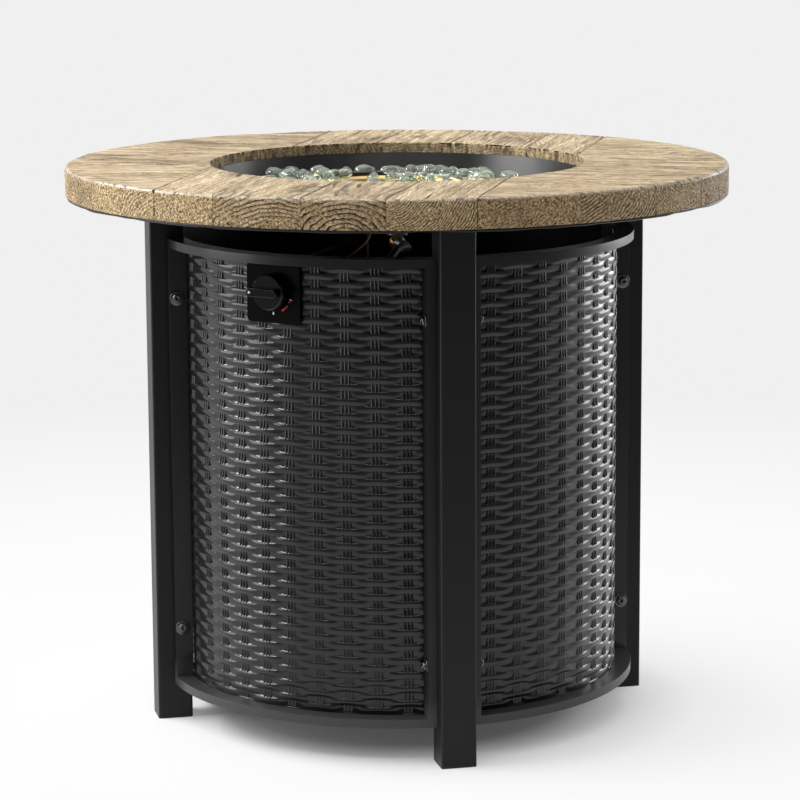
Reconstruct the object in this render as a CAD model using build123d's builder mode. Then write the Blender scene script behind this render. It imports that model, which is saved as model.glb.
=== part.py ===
from build123d import *
import os
from math import atan2, cos, pi, radians, sin, sqrt, tan

# A round propane fire table: a cast wood-look top on four square legs, with four
# rolled panels between the legs, a fire bowl in the top and a gas valve behind a knob.
# Millimetres. The origin is on the floor at the middle, +Z is up, the knob faces -Y.

# Table top
top_radius = 381.0
table_height = 640.0
top_overhang = 108.0
opening_margin = 9.0
edge_height = 37.0
edge_width = 45.0
edge_draft = 8.0
edge_round = 5.0
edge_under_bevel = 3.0
deck_thickness = 12.5
lip_bevel = 1.2

# Planks moulded into the top: joints as shares of the top's radius, in a frame turned by plank_angle
plank_angle = 20.0
front_joint_shares = (-0.51, -0.316, -0.054, 0.18, 0.418)
side_joint_shares = (-0.736, -0.518, -0.289, -0.028, 0.205, 0.433, 0.65)
joint_width = 2.4
joint_depth = 1.8

# Legs
leg_size = 40.0
leg_wall = 1.5
leg_corner = 3.0
leg_proud = 18.5
foot_thickness = 2.0
foot_plug_depth = 16.0
foot_clearance = 0.15
plate_length = 110.0
plate_width = 56.0
plate_thickness = 4.0
plate_corner = 6.0
plate_bolt_offset = 41.0

# Panels
panel_bottom = 42.0
panel_drop = 78.0
bar_depth = 20.0
bar_height = 10.0
bar_width = 10.0
screw_end_distance = 68.0
sheet_thickness = 1.2
sheet_gap = 0.2
sheet_end_gap = 1.0
sheet_margin = 2.0

# Screws, bolts and their fits
screw_radius = 3.0
screw_length = 20.0
screw_head_radius = 5.5
screw_head_height = 3.2
washer_radius = 8.5
washer_thickness = 1.5
bolt_radius = 3.0
bolt_bite = 8.0
bolt_head_height = 4.0
bolt_head_radius = 5.5
hole_clearance = 0.2

# Fire bowl and burner
bowl_gap = 1.0
bowl_wall = 1.5
bowl_depth = 41.0
bowl_flange = 20.0
bowl_corner = 9.0
bowl_seat_gap = 0.2
bowl_bolt_count = 6
dish_radius = 120.0
dish_height = 29.0
dish_floor_height = 8.0
dish_wall = 1.2
dish_bead = 1.8
ring_inset = 24.0
ring_tube = 6.5
ring_rise = 10.5
feed_tube = 5.0
hub_radius = 13.0
nipple_radius = 8.0
nipple_length = 30.0
port_radius = 1.5
port_depth = 2.5
port_spacing = 11.0
nut_across = 24.0
nut_height = 8.0
mixer_radius = 12.0
mixer_length = 22.0
mixer_wall = 4.0
mixer_gap = 1.0
air_slot_width = 9.0
air_slot_height = 8.0
elbow_radius = 9.0
elbow_spigot = 5.0
elbow_reach = 26.0
elbow_angle = -45.0

# Glass pebbles
glass_depth = 18.0
glass_gap = 1.0
pebble_radius = 9.0
pebble_heights = (7.0, 10.0, 12.0)
pebble_spacing = 27.0
pebble_taper = 24.0
pebble_sink = 1.0
glass_heap_count = 8
glass_slit = 0.6

# Control
control_drop = 44.0
plate_size_x = 70.0
plate_size_z = 66.0
control_plate_thickness = 2.0
control_plate_corner = 5.0
control_plate_gap = 0.3
knob_rise = 2.5
knob_radius = 20.0
knob_disc = 8.0
knob_bevel = 1.6
knob_travel = 4.0
knob_stop_gap = 0.6
grip_height = 8.5
grip_width = 10.0
grip_overhang = 2.5
grip_tail = 2.0
grip_round = 1.5
stem_radius = 3.0
stem_length = 32.0
stem_seat = 7.0
plug_radius = 5.0
plug_length = 26.0
running_clearance = 0.05

# Valve behind the front panel
bracket_drop = 5.0
bracket_thickness = 1.5
bracket_height = 58.0
bracket_gap = 0.3
valve_radius = 15.0
valve_length = 38.0
valve_end_wall = 8.0
bonnet_radius = 7.5
inlet_radius = 6.5
inlet_length = 16.0
inlet_hex_across = 19.0
inlet_hex_height = 8.0
outlet_radius = 6.0
outlet_length = 10.0
igniter_radius = 8.0
igniter_offset = 19.0

# Hose and leads, with their routes between the two ends they join, measured from the table's top
hose_radius = 4.5
ferrule_radius = 6.8
ferrule_length = 18.0
ferrule_wall = 0.15
spark_lead_radius = 1.3
sensor_lead_radius = 1.0
hose_run = 30.0
lead_run = 15.0
hose_route = (
    (84, -208, -113), (92, -174, -100), (80, -139, -90),
    (66, -104, -86), (56, -70, -88),
)
spark_route = ((-14, -92, -85), (-20, -116, -91), (-23, -146, -94), (-21, -172, -100))
sensor_route = ((13, -92, -87), (12, -116, -95), (9, -142, -103), (8, -168, -113))

# Spark pin and flame sensor
pin_inset = 15.5
pin_spacing = 22.0
ceramic_radius = 3.5
ceramic_rise = 8.0
pin_radius = 1.2
pin_rise = 9.0
sensor_radius = 2.5
sensor_rise = 13.0
pin_drop = 8.0

# Tank tray
tray_height = 44.0
tray_thickness = 1.5
tray_margin = 52.0
tray_tab_width = 26.0
tray_tab_height = 24.0
tank_ring_radius = 104.0
tank_ring_width = 4.0
tank_ring_height = 8.0

# Door
door_gap = 1.5
barrel_radius = 5.0
barrel_height = 24.0
barrel_web = 4.0
hinge_gap = 0.4
hinge_end_distance = 90.0
pin_cap = 2.0
lug_height = 5.0
lug_margin = 4.0
magnet_radius = 7.0
magnet_gap = 0.3
magnet_end_distance = 120.0

# Cutting tools run this far past what they cut
overrun = 5.0

# Places worked out from the sizes above
deck_under = table_height - deck_thickness
edge_under = table_height - edge_height
leg_half = leg_size / 2
rim_radius = top_radius - top_overhang
leg_radius = rim_radius + leg_proud - leg_half
opening_radius = leg_radius - plate_width / 2 - opening_margin - bowl_flange - bowl_wall + bowl_gap
leg_top = deck_under - plate_thickness
panel_top = table_height - panel_drop
panel_height = panel_top - panel_bottom
control_height = panel_top - control_drop
rim_inner = rim_radius - bar_depth
sheet_outer = rim_inner - sheet_gap
sheet_inner = sheet_outer - sheet_thickness
screw_place = rim_radius - bar_depth / 2
screw_heights = (panel_bottom + screw_end_distance, panel_top - screw_end_distance)
bowl_inner = opening_radius - bowl_gap
bowl_outer = bowl_inner + bowl_wall
flange_top = deck_under - bowl_seat_gap
flange_under = flange_top - bowl_wall
floor_top = flange_top - bowl_depth
floor_under = floor_top - bowl_wall
flange_radius = bowl_outer + bowl_flange
bowl_bolt_place = bowl_outer + bowl_flange / 2
dish_top = floor_top + dish_height
dish_floor = floor_top + dish_floor_height
dish_inner = dish_radius - dish_wall
ring_radius = dish_radius - ring_inset
pin_place_radius = ring_radius - ring_tube - pin_inset
ring_height = dish_floor + dish_wall + ring_rise
nipple_end = dish_floor + dish_wall - nipple_length
mixer_top = floor_under - nut_height - mixer_gap
mixer_bottom = mixer_top - mixer_length
elbow_height = mixer_bottom - elbow_radius
knob_height = control_height + knob_rise
plate_back = -sheet_outer - control_plate_gap
plate_front = plate_back - control_plate_thickness
knob_back = plate_front - knob_travel - knob_stop_gap
knob_front = knob_back - knob_disc
bracket_front = -sheet_inner + bracket_drop
bracket_back = bracket_front + bracket_thickness
valve_back = bracket_back + valve_length
stem_front = knob_back - stem_seat
plug_front = plate_front
hinge_radius = rim_radius + barrel_radius + hinge_gap
hinge_offset = leg_half + door_gap + bar_width / 2

legs = {"leg_front_left": -135, "leg_front_right": -45, "leg_back_right": 45, "leg_back_left": 135}
fixed_panels = {"front": -90, "right": 0, "left": 180}
door_angle = 90
half_turn = 180
panel_half_angle = 45
base_up = (Align.CENTER, Align.CENTER, Align.MIN)
base_down = (Align.CENTER, Align.CENTER, Align.MAX)


def save(piece, name):
    """Labels a finished piece and writes its file."""
    piece.part.label = name
    export_step(piece.part, f"parts/{name}.step")


def turned(angle, height=0):
    """A level plane at a height, with its X axis at an angle from the row's X axis."""
    return Plane.XY.rotated((0, 0, angle)).offset(height)


def side_plane(leg_angle, side, radius, offset, height):
    """A plane that faces away from one side of a leg, with its X axis pointing out of the table."""
    leg = turned(leg_angle)
    origin = leg.from_local_coords(Vector(radius, side * offset, height))
    return Plane(origin=origin, x_dir=leg.x_dir, z_dir=leg.y_dir * side)


def panel_screw_planes(offset):
    """Planes across the screws of all fixed panels, at an offset from the legs' middle planes."""
    planes = []
    for angle in fixed_panels.values():
        for side in (1, -1):
            for height in screw_heights:
                leg_angle = angle - side * panel_half_angle
                planes.append(side_plane(leg_angle, side, screw_place, offset, height))
    return planes


def upright_planes(offset, panel_angle):
    """The same planes, for one panel."""
    return [
        side_plane(panel_angle - side * panel_half_angle, side, screw_place, offset, height)
        for side in (1, -1)
        for height in screw_heights
    ]


def panel_sector(plane, inner, outer, leg_distance):
    """The plan of what stands between two legs: a ring's part that keeps a distance from both leg axes."""
    apex = leg_distance / sin(radians(panel_half_angle))
    reach = outer + outer
    with BuildSketch(plane) as sector:
        Circle(outer)
        Circle(inner, mode=Mode.SUBTRACT)
        with BuildLine():
            Polyline((apex, 0), (apex + reach, -reach), (apex + reach, reach), close=True)
        make_face(mode=Mode.INTERSECT)
    return sector.sketch


def lead(start, start_way, route, end, end_way, run, radius, name):
    """A round lead that leaves both ends straight, along runs joined by arcs as large as they allow."""
    between = [Vector(*point) + Vector(0, 0, table_height) for point in route]
    points = [start, start + start_way * run, *between, end + end_way * run, end]
    run_share = 0.45
    radii = []
    for before, corner, after in zip(points, points[1:], points[2:]):
        turn = (corner - before).get_angle(after - corner)
        shorter = min((corner - before).length, (after - corner).length)
        radii.append(run_share * shorter / tan(radians(turn / 2)))
    print(name, "bend radii", [round(bend, 1) for bend in radii])
    with BuildPart() as tube:
        with BuildLine() as path:
            FilletPolyline(*points, radius=radii)
        with BuildSketch(Plane(origin=path.line @ 0, z_dir=path.line % 0)):
            Circle(radius)
        sweep()
    return tube


os.makedirs("parts", exist_ok=True)

# Table top: a revolved deck with a deep edge, plank joints cut into its skin and blind bolt holes
with BuildPart() as joint_slabs:
    for side_turn in (0, half_turn):
        with BuildSketch(turned(plank_angle + side_turn, edge_under - overrun)):
            for share in front_joint_shares:
                with Locations((share * top_radius, -top_radius / 2)):
                    Rectangle(joint_width, top_radius + overrun)
            for share in side_joint_shares:
                start_share = front_joint_shares[-1] if share < 0 else -front_joint_shares[0]
                length = top_radius * (1 - start_share) + overrun
                with Locations((start_share * top_radius + length / 2, share * top_radius)):
                    Rectangle(length, joint_width)
        extrude(amount=edge_height + overrun + overrun)

with BuildPart() as plank_core:
    with BuildSketch(Plane.XZ):
        with BuildLine():
            Polyline(
                (opening_radius + joint_depth, edge_under - overrun - overrun),
                (opening_radius + joint_depth, table_height - joint_depth),
                (top_radius - joint_depth, table_height - joint_depth),
                (top_radius - joint_depth, edge_under - overrun - overrun),
                close=True,
            )
        make_face()
    revolve(axis=Axis.Z)
    core_rim = plank_core.edges().group_by(Axis.Z)[-1].sort_by(SortBy.RADIUS)[-1]
    fillet(core_rim, radius=edge_round - joint_depth)

with BuildPart() as plank_joints:
    add(joint_slabs.part)
    add(plank_core.part, mode=Mode.SUBTRACT)

top_bolt_points = [
    turned(angle).from_local_coords(Vector(leg_radius, side * plate_bolt_offset, deck_under))
    for angle in legs.values()
    for side in (1, -1)
]

with BuildPart() as table_top:
    with BuildSketch(Plane.XZ):
        with BuildLine():
            Polyline(
                (opening_radius, table_height),
                (top_radius, table_height),
                (top_radius, edge_under),
                (top_radius - edge_width, edge_under),
                (top_radius - edge_width - edge_draft, deck_under),
                (opening_radius, deck_under),
                close=True,
            )
        make_face()
    revolve(axis=Axis.Z)
    top_rings = table_top.edges().group_by(Axis.Z)[-1].sort_by(SortBy.RADIUS)
    fillet(top_rings[-1], radius=edge_round)
    chamfer(table_top.edges().group_by(Axis.Z)[-1].sort_by(SortBy.RADIUS)[0], length=lip_bevel)
    chamfer(table_top.edges().group_by(Axis.Z)[0].sort_by(SortBy.RADIUS)[-1], length=edge_under_bevel)
    add(plank_joints.part, mode=Mode.SUBTRACT)
    with Locations(*top_bolt_points):
        Cylinder(bolt_radius + hole_clearance, bolt_bite + hole_clearance, align=base_up, mode=Mode.SUBTRACT)
    with Locations(Plane.XY.offset(deck_under)):
        with PolarLocations(bowl_bolt_place, bowl_bolt_count):
            Cylinder(bolt_radius + hole_clearance, bolt_bite + hole_clearance, align=base_up, mode=Mode.SUBTRACT)
save(table_top, "table_top")

# Legs: square tubes with the holes of the panels and the tray that are screwed to them
for leg_name, leg_angle in legs.items():
    with BuildPart() as leg:
        with BuildSketch(turned(leg_angle, foot_thickness)):
            with Locations((leg_radius, 0)):
                RectangleRounded(leg_size, leg_size, leg_corner)
                inner_size = leg_size - 2 * leg_wall
                RectangleRounded(inner_size, inner_size, leg_corner - leg_wall, mode=Mode.SUBTRACT)
        extrude(amount=leg_top - foot_thickness)
        with Locations(*panel_screw_planes(leg_half)):
            Cylinder(screw_radius + hole_clearance, 4 * leg_wall, mode=Mode.SUBTRACT)
        tray_hole = turned(leg_angle).from_local_coords(
            Vector(leg_radius - leg_half, 0, tray_height + tray_tab_height / 2)
        )
        with Locations(Plane(origin=tray_hole, z_dir=turned(leg_angle).x_dir)):
            Cylinder(screw_radius + hole_clearance, 4 * leg_wall, mode=Mode.SUBTRACT)
    save(leg, leg_name)

# Foot caps: a base as wide as the leg and a plug inside the tube
with BuildPart() as foot_caps:
    for leg_angle in legs.values():
        with BuildSketch(turned(leg_angle)):
            with Locations((leg_radius, 0)):
                RectangleRounded(leg_size, leg_size, leg_corner)
        extrude(amount=foot_thickness)
        with BuildSketch(turned(leg_angle, foot_thickness)):
            with Locations((leg_radius, 0)):
                plug_size = leg_size - 2 * (leg_wall + foot_clearance)
                RectangleRounded(plug_size, plug_size, leg_corner - leg_wall)
        extrude(amount=foot_plug_depth)
save(foot_caps, "foot_caps")

# Plates on top of the legs, with the bolts that carry the table top
with BuildPart() as top_plates:
    for leg_angle in legs.values():
        with BuildSketch(turned(leg_angle, leg_top)):
            with Locations((leg_radius, 0)):
                RectangleRounded(plate_width, plate_length, plate_corner)
            with Locations((leg_radius, plate_bolt_offset), (leg_radius, -plate_bolt_offset)):
                Circle(bolt_radius + hole_clearance, mode=Mode.SUBTRACT)
        extrude(amount=plate_thickness)
save(top_plates, "top_plates")

with BuildPart() as top_bolts:
    with Locations(*[point - Vector(0, 0, plate_thickness) for point in top_bolt_points]):
        Cylinder(bolt_radius, plate_thickness + bolt_bite, align=base_up)
        with Locations((0, 0, -bolt_head_height)):
            Cylinder(bolt_head_radius, bolt_head_height, align=base_up)
save(top_bolts, "top_bolts")

# Panels: a rolled frame of flat bar, with a curved sheet welded inside its rims


def panel_frame(angle, name, leg_gap, screwed):
    """A frame between two legs: rims that follow the circle and uprights along the legs' sides."""
    with BuildPart() as frame:
        add(panel_sector(turned(angle, panel_bottom), rim_inner, rim_radius, leg_half + leg_gap))
        extrude(amount=panel_height)
        window = panel_sector(
            turned(angle, panel_bottom + bar_height),
            rim_inner - overrun,
            rim_radius + overrun,
            leg_half + leg_gap + bar_width,
        )
        add(window)
        extrude(amount=panel_height - 2 * bar_height, mode=Mode.SUBTRACT)
        if screwed:
            with Locations(*upright_planes(leg_half + bar_width / 2, angle)):
                Cylinder(screw_radius + hole_clearance, bar_width + overrun, mode=Mode.SUBTRACT)
    save(frame, name)


def panel_sheet(angle, name, leg_gap, valve_hole):
    """The sheet of a panel, with a round hole where the valve comes through."""
    with BuildPart() as sheet:
        distance = leg_half + leg_gap + sheet_end_gap
        add(panel_sector(turned(angle, panel_bottom + sheet_margin), sheet_inner, sheet_outer, distance))
        extrude(amount=panel_height - 2 * sheet_margin)
        if valve_hole:
            with BuildSketch(Plane.XZ):
                with Locations((0, knob_height)):
                    Circle(bonnet_radius + hole_clearance)
            extrude(amount=rim_radius, mode=Mode.SUBTRACT)
    save(sheet, name)


for side_name, panel_angle in fixed_panels.items():
    panel_frame(panel_angle, f"{side_name}_frame", 0, True)
    panel_sheet(panel_angle, f"{side_name}_weave", 0, side_name == "front")
panel_frame(door_angle, "door_frame", door_gap, False)
panel_sheet(door_angle, "door_weave", door_gap, False)

# Screws and washers of the fixed panels
with BuildPart() as panel_washers:
    with Locations(*panel_screw_planes(leg_half + bar_width)):
        Cylinder(washer_radius, washer_thickness, align=base_up)
        Cylinder(screw_radius + hole_clearance, washer_thickness, align=base_up, mode=Mode.SUBTRACT)
save(panel_washers, "panel_washers")

with BuildPart() as panel_screws:
    with Locations(*panel_screw_planes(leg_half + bar_width + washer_thickness)):
        Cylinder(screw_head_radius, screw_head_height, align=base_up)
        Cylinder(screw_radius, screw_length, align=base_down)
save(panel_screws, "panel_screws")

# Fire bowl: a shallow pan that hangs by its flange under the table top
with BuildPart() as fire_bowl:
    with BuildSketch(Plane.XZ):
        with BuildLine():
            Polyline(
                (nipple_radius + hole_clearance, floor_under),
                (bowl_outer, floor_under),
                (bowl_outer, flange_under),
                (flange_radius, flange_under),
                (flange_radius, flange_top),
                (bowl_inner, flange_top),
                (bowl_inner, floor_top),
                (nipple_radius + hole_clearance, floor_top),
                close=True,
            )
        make_face()
    revolve(axis=Axis.Z)
    floor_rings = fire_bowl.edges().filter_by(GeomType.CIRCLE)
    fillet(floor_rings.group_by(Axis.Z)[1].sort_by(SortBy.RADIUS)[-1], radius=bowl_corner)
    under_rings = fire_bowl.edges().filter_by(GeomType.CIRCLE).group_by(Axis.Z)[0]
    fillet(under_rings.sort_by(SortBy.RADIUS)[-1], radius=bowl_corner + bowl_wall)
    with Locations(Plane.XY.offset(flange_under)):
        with PolarLocations(bowl_bolt_place, bowl_bolt_count):
            Cylinder(bolt_radius + hole_clearance, 4 * bowl_wall, mode=Mode.SUBTRACT)
    for pin_side, pin_size in ((-1, ceramic_radius), (1, sensor_radius)):
        with Locations((pin_side * pin_spacing / 2, -pin_place_radius, floor_under)):
            Cylinder(pin_size + hole_clearance, 4 * bowl_wall, mode=Mode.SUBTRACT)
save(fire_bowl, "fire_bowl")

with BuildPart() as bowl_bolts:
    with Locations(Plane.XY.offset(flange_under)):
        with PolarLocations(bowl_bolt_place, bowl_bolt_count):
            Cylinder(bolt_radius, bowl_wall + bowl_seat_gap + bolt_bite, align=base_up)
            Cylinder(bolt_head_radius, bolt_head_height, align=base_down)
save(bowl_bolts, "bowl_bolts")

# Burner dish: a ring wall with a rolled rim that stands on the bowl's floor, and a raised floor
with BuildPart() as burner_dish:
    with BuildSketch(Plane.XZ):
        with BuildLine():
            Polyline(
                (nipple_radius + hole_clearance, dish_floor),
                (dish_inner, dish_floor),
                (dish_inner, floor_top),
                (dish_radius, floor_top),
                (dish_radius, dish_top - dish_bead),
                (dish_inner, dish_top - dish_bead),
                (dish_inner, dish_floor + dish_wall),
                (nipple_radius + hole_clearance, dish_floor + dish_wall),
                close=True,
            )
        make_face()
        with Locations((dish_radius - dish_wall / 2, dish_top - dish_bead)):
            Circle(dish_bead)
    revolve(axis=Axis.Z)
    for pin_side, pin_size in ((-1, ceramic_radius), (1, sensor_radius)):
        with Locations((pin_side * pin_spacing / 2, -pin_place_radius, dish_floor)):
            Cylinder(pin_size + hole_clearance, 4 * dish_wall, mode=Mode.SUBTRACT)
save(burner_dish, "burner_dish")

# Burner: a ring of tube with ports, a feed tube across it, and a hub with a threaded nipple
port_count = round(2 * pi * ring_radius / port_spacing)
with BuildPart() as burner_ring:
    with BuildSketch(Plane.YZ):
        with Locations((ring_radius, ring_height)):
            Circle(ring_tube)
    revolve(axis=Axis.Z)
    with BuildSketch(Plane.YZ):
        with Locations((0, ring_height)):
            Circle(feed_tube)
    extrude(amount=ring_radius, both=True)
    with Locations((0, 0, dish_floor + dish_wall)):
        Cylinder(hub_radius, ring_rise + ring_tube, align=base_up)
        Cylinder(nipple_radius, nipple_length, align=base_down)
    with Locations(Plane.XY.offset(ring_height + ring_tube)):
        with PolarLocations(ring_radius, port_count):
            Cylinder(port_radius, 2 * port_depth, mode=Mode.SUBTRACT)
save(burner_ring, "burner_ring")

with BuildPart() as burner_nut:
    with BuildSketch(Plane.XY.offset(floor_under)):
        RegularPolygon(nut_across / 2, 6, major_radius=False)
        Circle(nipple_radius + running_clearance, mode=Mode.SUBTRACT)
    extrude(amount=-nut_height)
save(burner_nut, "burner_nut")

# Air mixer: a sleeve on the nipple, with air slots, that takes the elbow's jet from below
with BuildPart() as air_mixer:
    with Locations((0, 0, mixer_bottom)):
        Cylinder(mixer_radius, mixer_length, align=base_up)
        Cylinder(elbow_spigot + running_clearance, mixer_length, align=base_up, mode=Mode.SUBTRACT)
    with Locations((0, 0, mixer_bottom + mixer_wall)):
        Cylinder(nipple_radius + running_clearance, mixer_length, align=base_up, mode=Mode.SUBTRACT)
    with Locations((0, 0, mixer_bottom + mixer_wall + air_slot_height / 2)):
        Box(2 * mixer_radius + overrun, air_slot_width, air_slot_height, mode=Mode.SUBTRACT)
save(air_mixer, "air_mixer")

# Inlet elbow: a spigot up into the mixer and a stub out to the hose
elbow_plane = Plane(origin=(0, 0, elbow_height), z_dir=turned(elbow_angle).x_dir)
with BuildPart() as inlet_elbow:
    with Locations((0, 0, elbow_height)):
        Sphere(elbow_radius)
        Cylinder(elbow_spigot, elbow_radius + mixer_wall, align=base_up)
    with Locations(elbow_plane):
        Cylinder(outlet_radius, elbow_reach, align=base_up)
save(inlet_elbow, "inlet_elbow")

# Spark pin and flame sensor, through both floors beside the ring
pin_bottom = floor_under - pin_drop
with BuildPart() as igniter_electrode:
    with Locations((-pin_spacing / 2, -pin_place_radius, pin_bottom)):
        Cylinder(ceramic_radius, dish_floor + ceramic_rise - pin_bottom, align=base_up)
        Cylinder(pin_radius, dish_floor + ceramic_rise + pin_rise - pin_bottom, align=base_up)
save(igniter_electrode, "igniter_electrode")

with BuildPart() as thermocouple:
    with Locations((pin_spacing / 2, -pin_place_radius, pin_bottom)):
        Cylinder(sensor_radius, dish_floor + sensor_rise - pin_bottom, align=base_up)
    fillet(thermocouple.edges().group_by(Axis.Z)[-1], radius=sensor_radius / 2)
save(thermocouple, "thermocouple")

# Glass pebbles: a bed with single pebbles standing out of it, on a spiral of even spacing
golden_turn = half_turn * (3 - sqrt(5))


def pebble_points(inner, outer):
    """Places on a sunflower spiral between two radii, a pebble pitch apart."""
    area_share = pi / pebble_spacing**2
    first = int(inner**2 * area_share) + 1
    last = int(outer**2 * area_share)
    places = []
    for index in range(first, last + 1):
        distance = sqrt(index / area_share)
        turn = radians(index * golden_turn)
        places.append((distance * cos(turn), distance * sin(turn)))
    return places


def pebbles(places, height):
    """Adds tapered six-sided pebbles of three heights at the given places."""
    for index, place in enumerate(places):
        pebble_height = pebble_heights[index % len(pebble_heights)]
        with BuildSketch(Plane.XY.offset(height - pebble_sink)) as foot:
            with Locations(place):
                RegularPolygon(pebble_radius, 6)
        extrude(foot.sketch, amount=pebble_height, taper=pebble_taper)


outer_inner = dish_radius + glass_gap
outer_outer = bowl_inner - bowl_corner
outer_top = floor_top + glass_depth
heap_turn = 2 * pi / glass_heap_count


def clear_of_slits(place):
    """Whether a pebble's foot lies inside one heap of the outer bed."""
    from_slit = atan2(place[1], place[0]) % heap_turn
    nearest = min(from_slit, heap_turn - from_slit)
    return sqrt(place[0] ** 2 + place[1] ** 2) * sin(nearest) > pebble_radius + glass_slit


# The outer bed lies in heaps around the dish, with a slit between each two
with BuildPart() as fire_glass_outer:
    with BuildSketch(Plane.XY.offset(floor_top)):
        Circle(outer_outer)
        Circle(outer_inner, mode=Mode.SUBTRACT)
        with PolarLocations(outer_outer / 2, glass_heap_count):
            Rectangle(outer_outer, glass_slit, mode=Mode.SUBTRACT)
    extrude(amount=glass_depth)
    outer_places = pebble_points(outer_inner + pebble_radius, outer_outer - pebble_radius)
    pebbles([place for place in outer_places if clear_of_slits(place)], outer_top)
save(fire_glass_outer, "fire_glass_outer")

inner_base = dish_floor + dish_wall
inner_outer = ring_radius - ring_tube - glass_gap
feed_room = 2 * (feed_tube + glass_gap)
with BuildPart() as fire_glass_inner:
    inner_places = [
        place
        for place in pebble_points(hub_radius + pebble_radius + glass_gap, inner_outer - pebble_radius)
        if abs(place[1]) > feed_room / 2 + pebble_radius
    ]
    with BuildSketch(Plane.XY.offset(inner_base)):
        Circle(inner_outer)
        Circle(hub_radius + glass_gap, mode=Mode.SUBTRACT)
        Rectangle(2 * inner_outer, feed_room, mode=Mode.SUBTRACT)
    extrude(amount=ring_rise)
    pebbles(inner_places, inner_base + ring_rise)
    for pin_side, pin_size in ((-1, ceramic_radius), (1, sensor_radius)):
        with Locations((pin_side * pin_spacing / 2, -pin_place_radius, inner_base)):
            pin_room = pin_size + glass_gap
            Cylinder(pin_room, glass_depth + ring_rise, align=base_up, mode=Mode.SUBTRACT)
save(fire_glass_inner, "fire_glass_inner")

# Control plate on the front sheet, and the bracket behind it that carries the valve
spindle_front = Plane(origin=(0, plate_front, knob_height), x_dir=(1, 0, 0), z_dir=(0, -1, 0))
with BuildPart() as control_plate:
    with BuildSketch(Plane.XZ.offset(-plate_back)):
        with Locations((0, control_height)):
            RectangleRounded(plate_size_x, plate_size_z, control_plate_corner)
        with Locations((0, knob_height)):
            Circle(bonnet_radius + hole_clearance, mode=Mode.SUBTRACT)
    extrude(amount=control_plate_thickness)
save(control_plate, "control_plate")

bracket_half = sqrt((sheet_inner - bracket_gap) ** 2 - bracket_front**2)
with BuildPart() as valve_bracket:
    with BuildSketch(Plane.XZ.offset(-bracket_back)):
        with Locations((0, knob_height)):
            Rectangle(2 * bracket_half, bracket_height)
            Circle(bonnet_radius + hole_clearance, mode=Mode.SUBTRACT)
    extrude(amount=bracket_thickness)
save(valve_bracket, "valve_bracket")

# Valve: a round body with a bonnet through the panel, an inlet below, an outlet at the side
# and the igniter's barrel beside it
valve_axis = Plane(origin=(0, valve_back, knob_height), x_dir=(1, 0, 0), z_dir=(0, -1, 0))
valve_middle = bracket_back + valve_length / 2
inlet_top = knob_height - valve_radius
with BuildPart() as valve_body:
    with Locations(valve_axis):
        Cylinder(valve_radius, valve_length, align=base_up)
        Cylinder(bonnet_radius, valve_back - plate_front, align=base_up)
        with Locations((-igniter_offset, 0, 0)):
            Cylinder(igniter_radius, valve_length, align=base_up)
    with Locations((0, valve_middle, inlet_top)):
        Cylinder(inlet_radius, inlet_length + inlet_hex_height, align=base_down)
        Cylinder(inlet_radius, valve_radius, align=base_up)
    with BuildSketch(Plane.XY.offset(inlet_top - inlet_hex_height)):
        with Locations((0, valve_middle)):
            RegularPolygon(inlet_hex_across / 2, 6, major_radius=False)
    extrude(amount=inlet_hex_height + valve_radius / 2)
    with Locations(Plane(origin=(0, valve_middle, knob_height), z_dir=(1, 0, 0))):
        Cylinder(outlet_radius, valve_radius + outlet_length, align=base_up)
    with Locations(spindle_front):
        bore_depth = valve_back - plate_front - valve_end_wall
        Cylinder(plug_radius, bore_depth, align=base_down, mode=Mode.SUBTRACT)
save(valve_body, "valve_body")

with BuildPart() as valve_plug:
    with Locations(spindle_front):
        Cylinder(plug_radius - running_clearance, plug_length, align=base_down)
        Cylinder(stem_radius + running_clearance, plug_length, align=base_down, mode=Mode.SUBTRACT)
save(valve_plug, "valve_plug")

with BuildPart() as valve_stem:
    with Locations(Plane(origin=(0, stem_front, knob_height), x_dir=(1, 0, 0), z_dir=(0, -1, 0))):
        Cylinder(stem_radius, stem_length, align=base_down)
save(valve_stem, "valve_stem")

# Knob: a bevelled disc with a bar grip that points to the off mark at the left
knob_plane = Plane(origin=(0, knob_back, knob_height), x_dir=(1, 0, 0), z_dir=(0, -1, 0))
with BuildPart() as control_knob:
    with Locations(knob_plane):
        Cylinder(knob_radius, knob_disc, align=base_up)
    front_ring = control_knob.edges().filter_by(GeomType.CIRCLE).sort_by(Axis.Y)[0]
    chamfer(front_ring, length=knob_bevel)
    grip_length = 2 * knob_radius + grip_overhang - grip_tail
    with BuildSketch(knob_plane.offset(knob_disc - knob_bevel)):
        with Locations(((grip_tail - grip_overhang) / 2 - grip_tail, 0)):
            SlotOverall(grip_length, grip_width)
    extrude(amount=grip_height + knob_bevel)
    grip_rim = control_knob.edges().group_by(Axis.Y)[0]
    fillet(grip_rim, radius=grip_round)
    with Locations(knob_plane):
        Cylinder(stem_radius + running_clearance, stem_seat, align=base_up, mode=Mode.SUBTRACT)
save(control_knob, "control_knob")

# Hose from the valve to the elbow, with a ferrule pressed on each end
outlet_end = Vector(valve_radius + outlet_length, valve_middle, knob_height)
elbow_end = elbow_plane.from_local_coords(Vector(0, 0, elbow_reach))
elbow_way = elbow_plane.z_dir
hose_name = "gas_hose"
gas_hose = lead(
    outlet_end, Vector(1, 0, 0), hose_route, elbow_end, elbow_way, hose_run, hose_radius, hose_name
)
save(gas_hose, hose_name)

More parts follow.
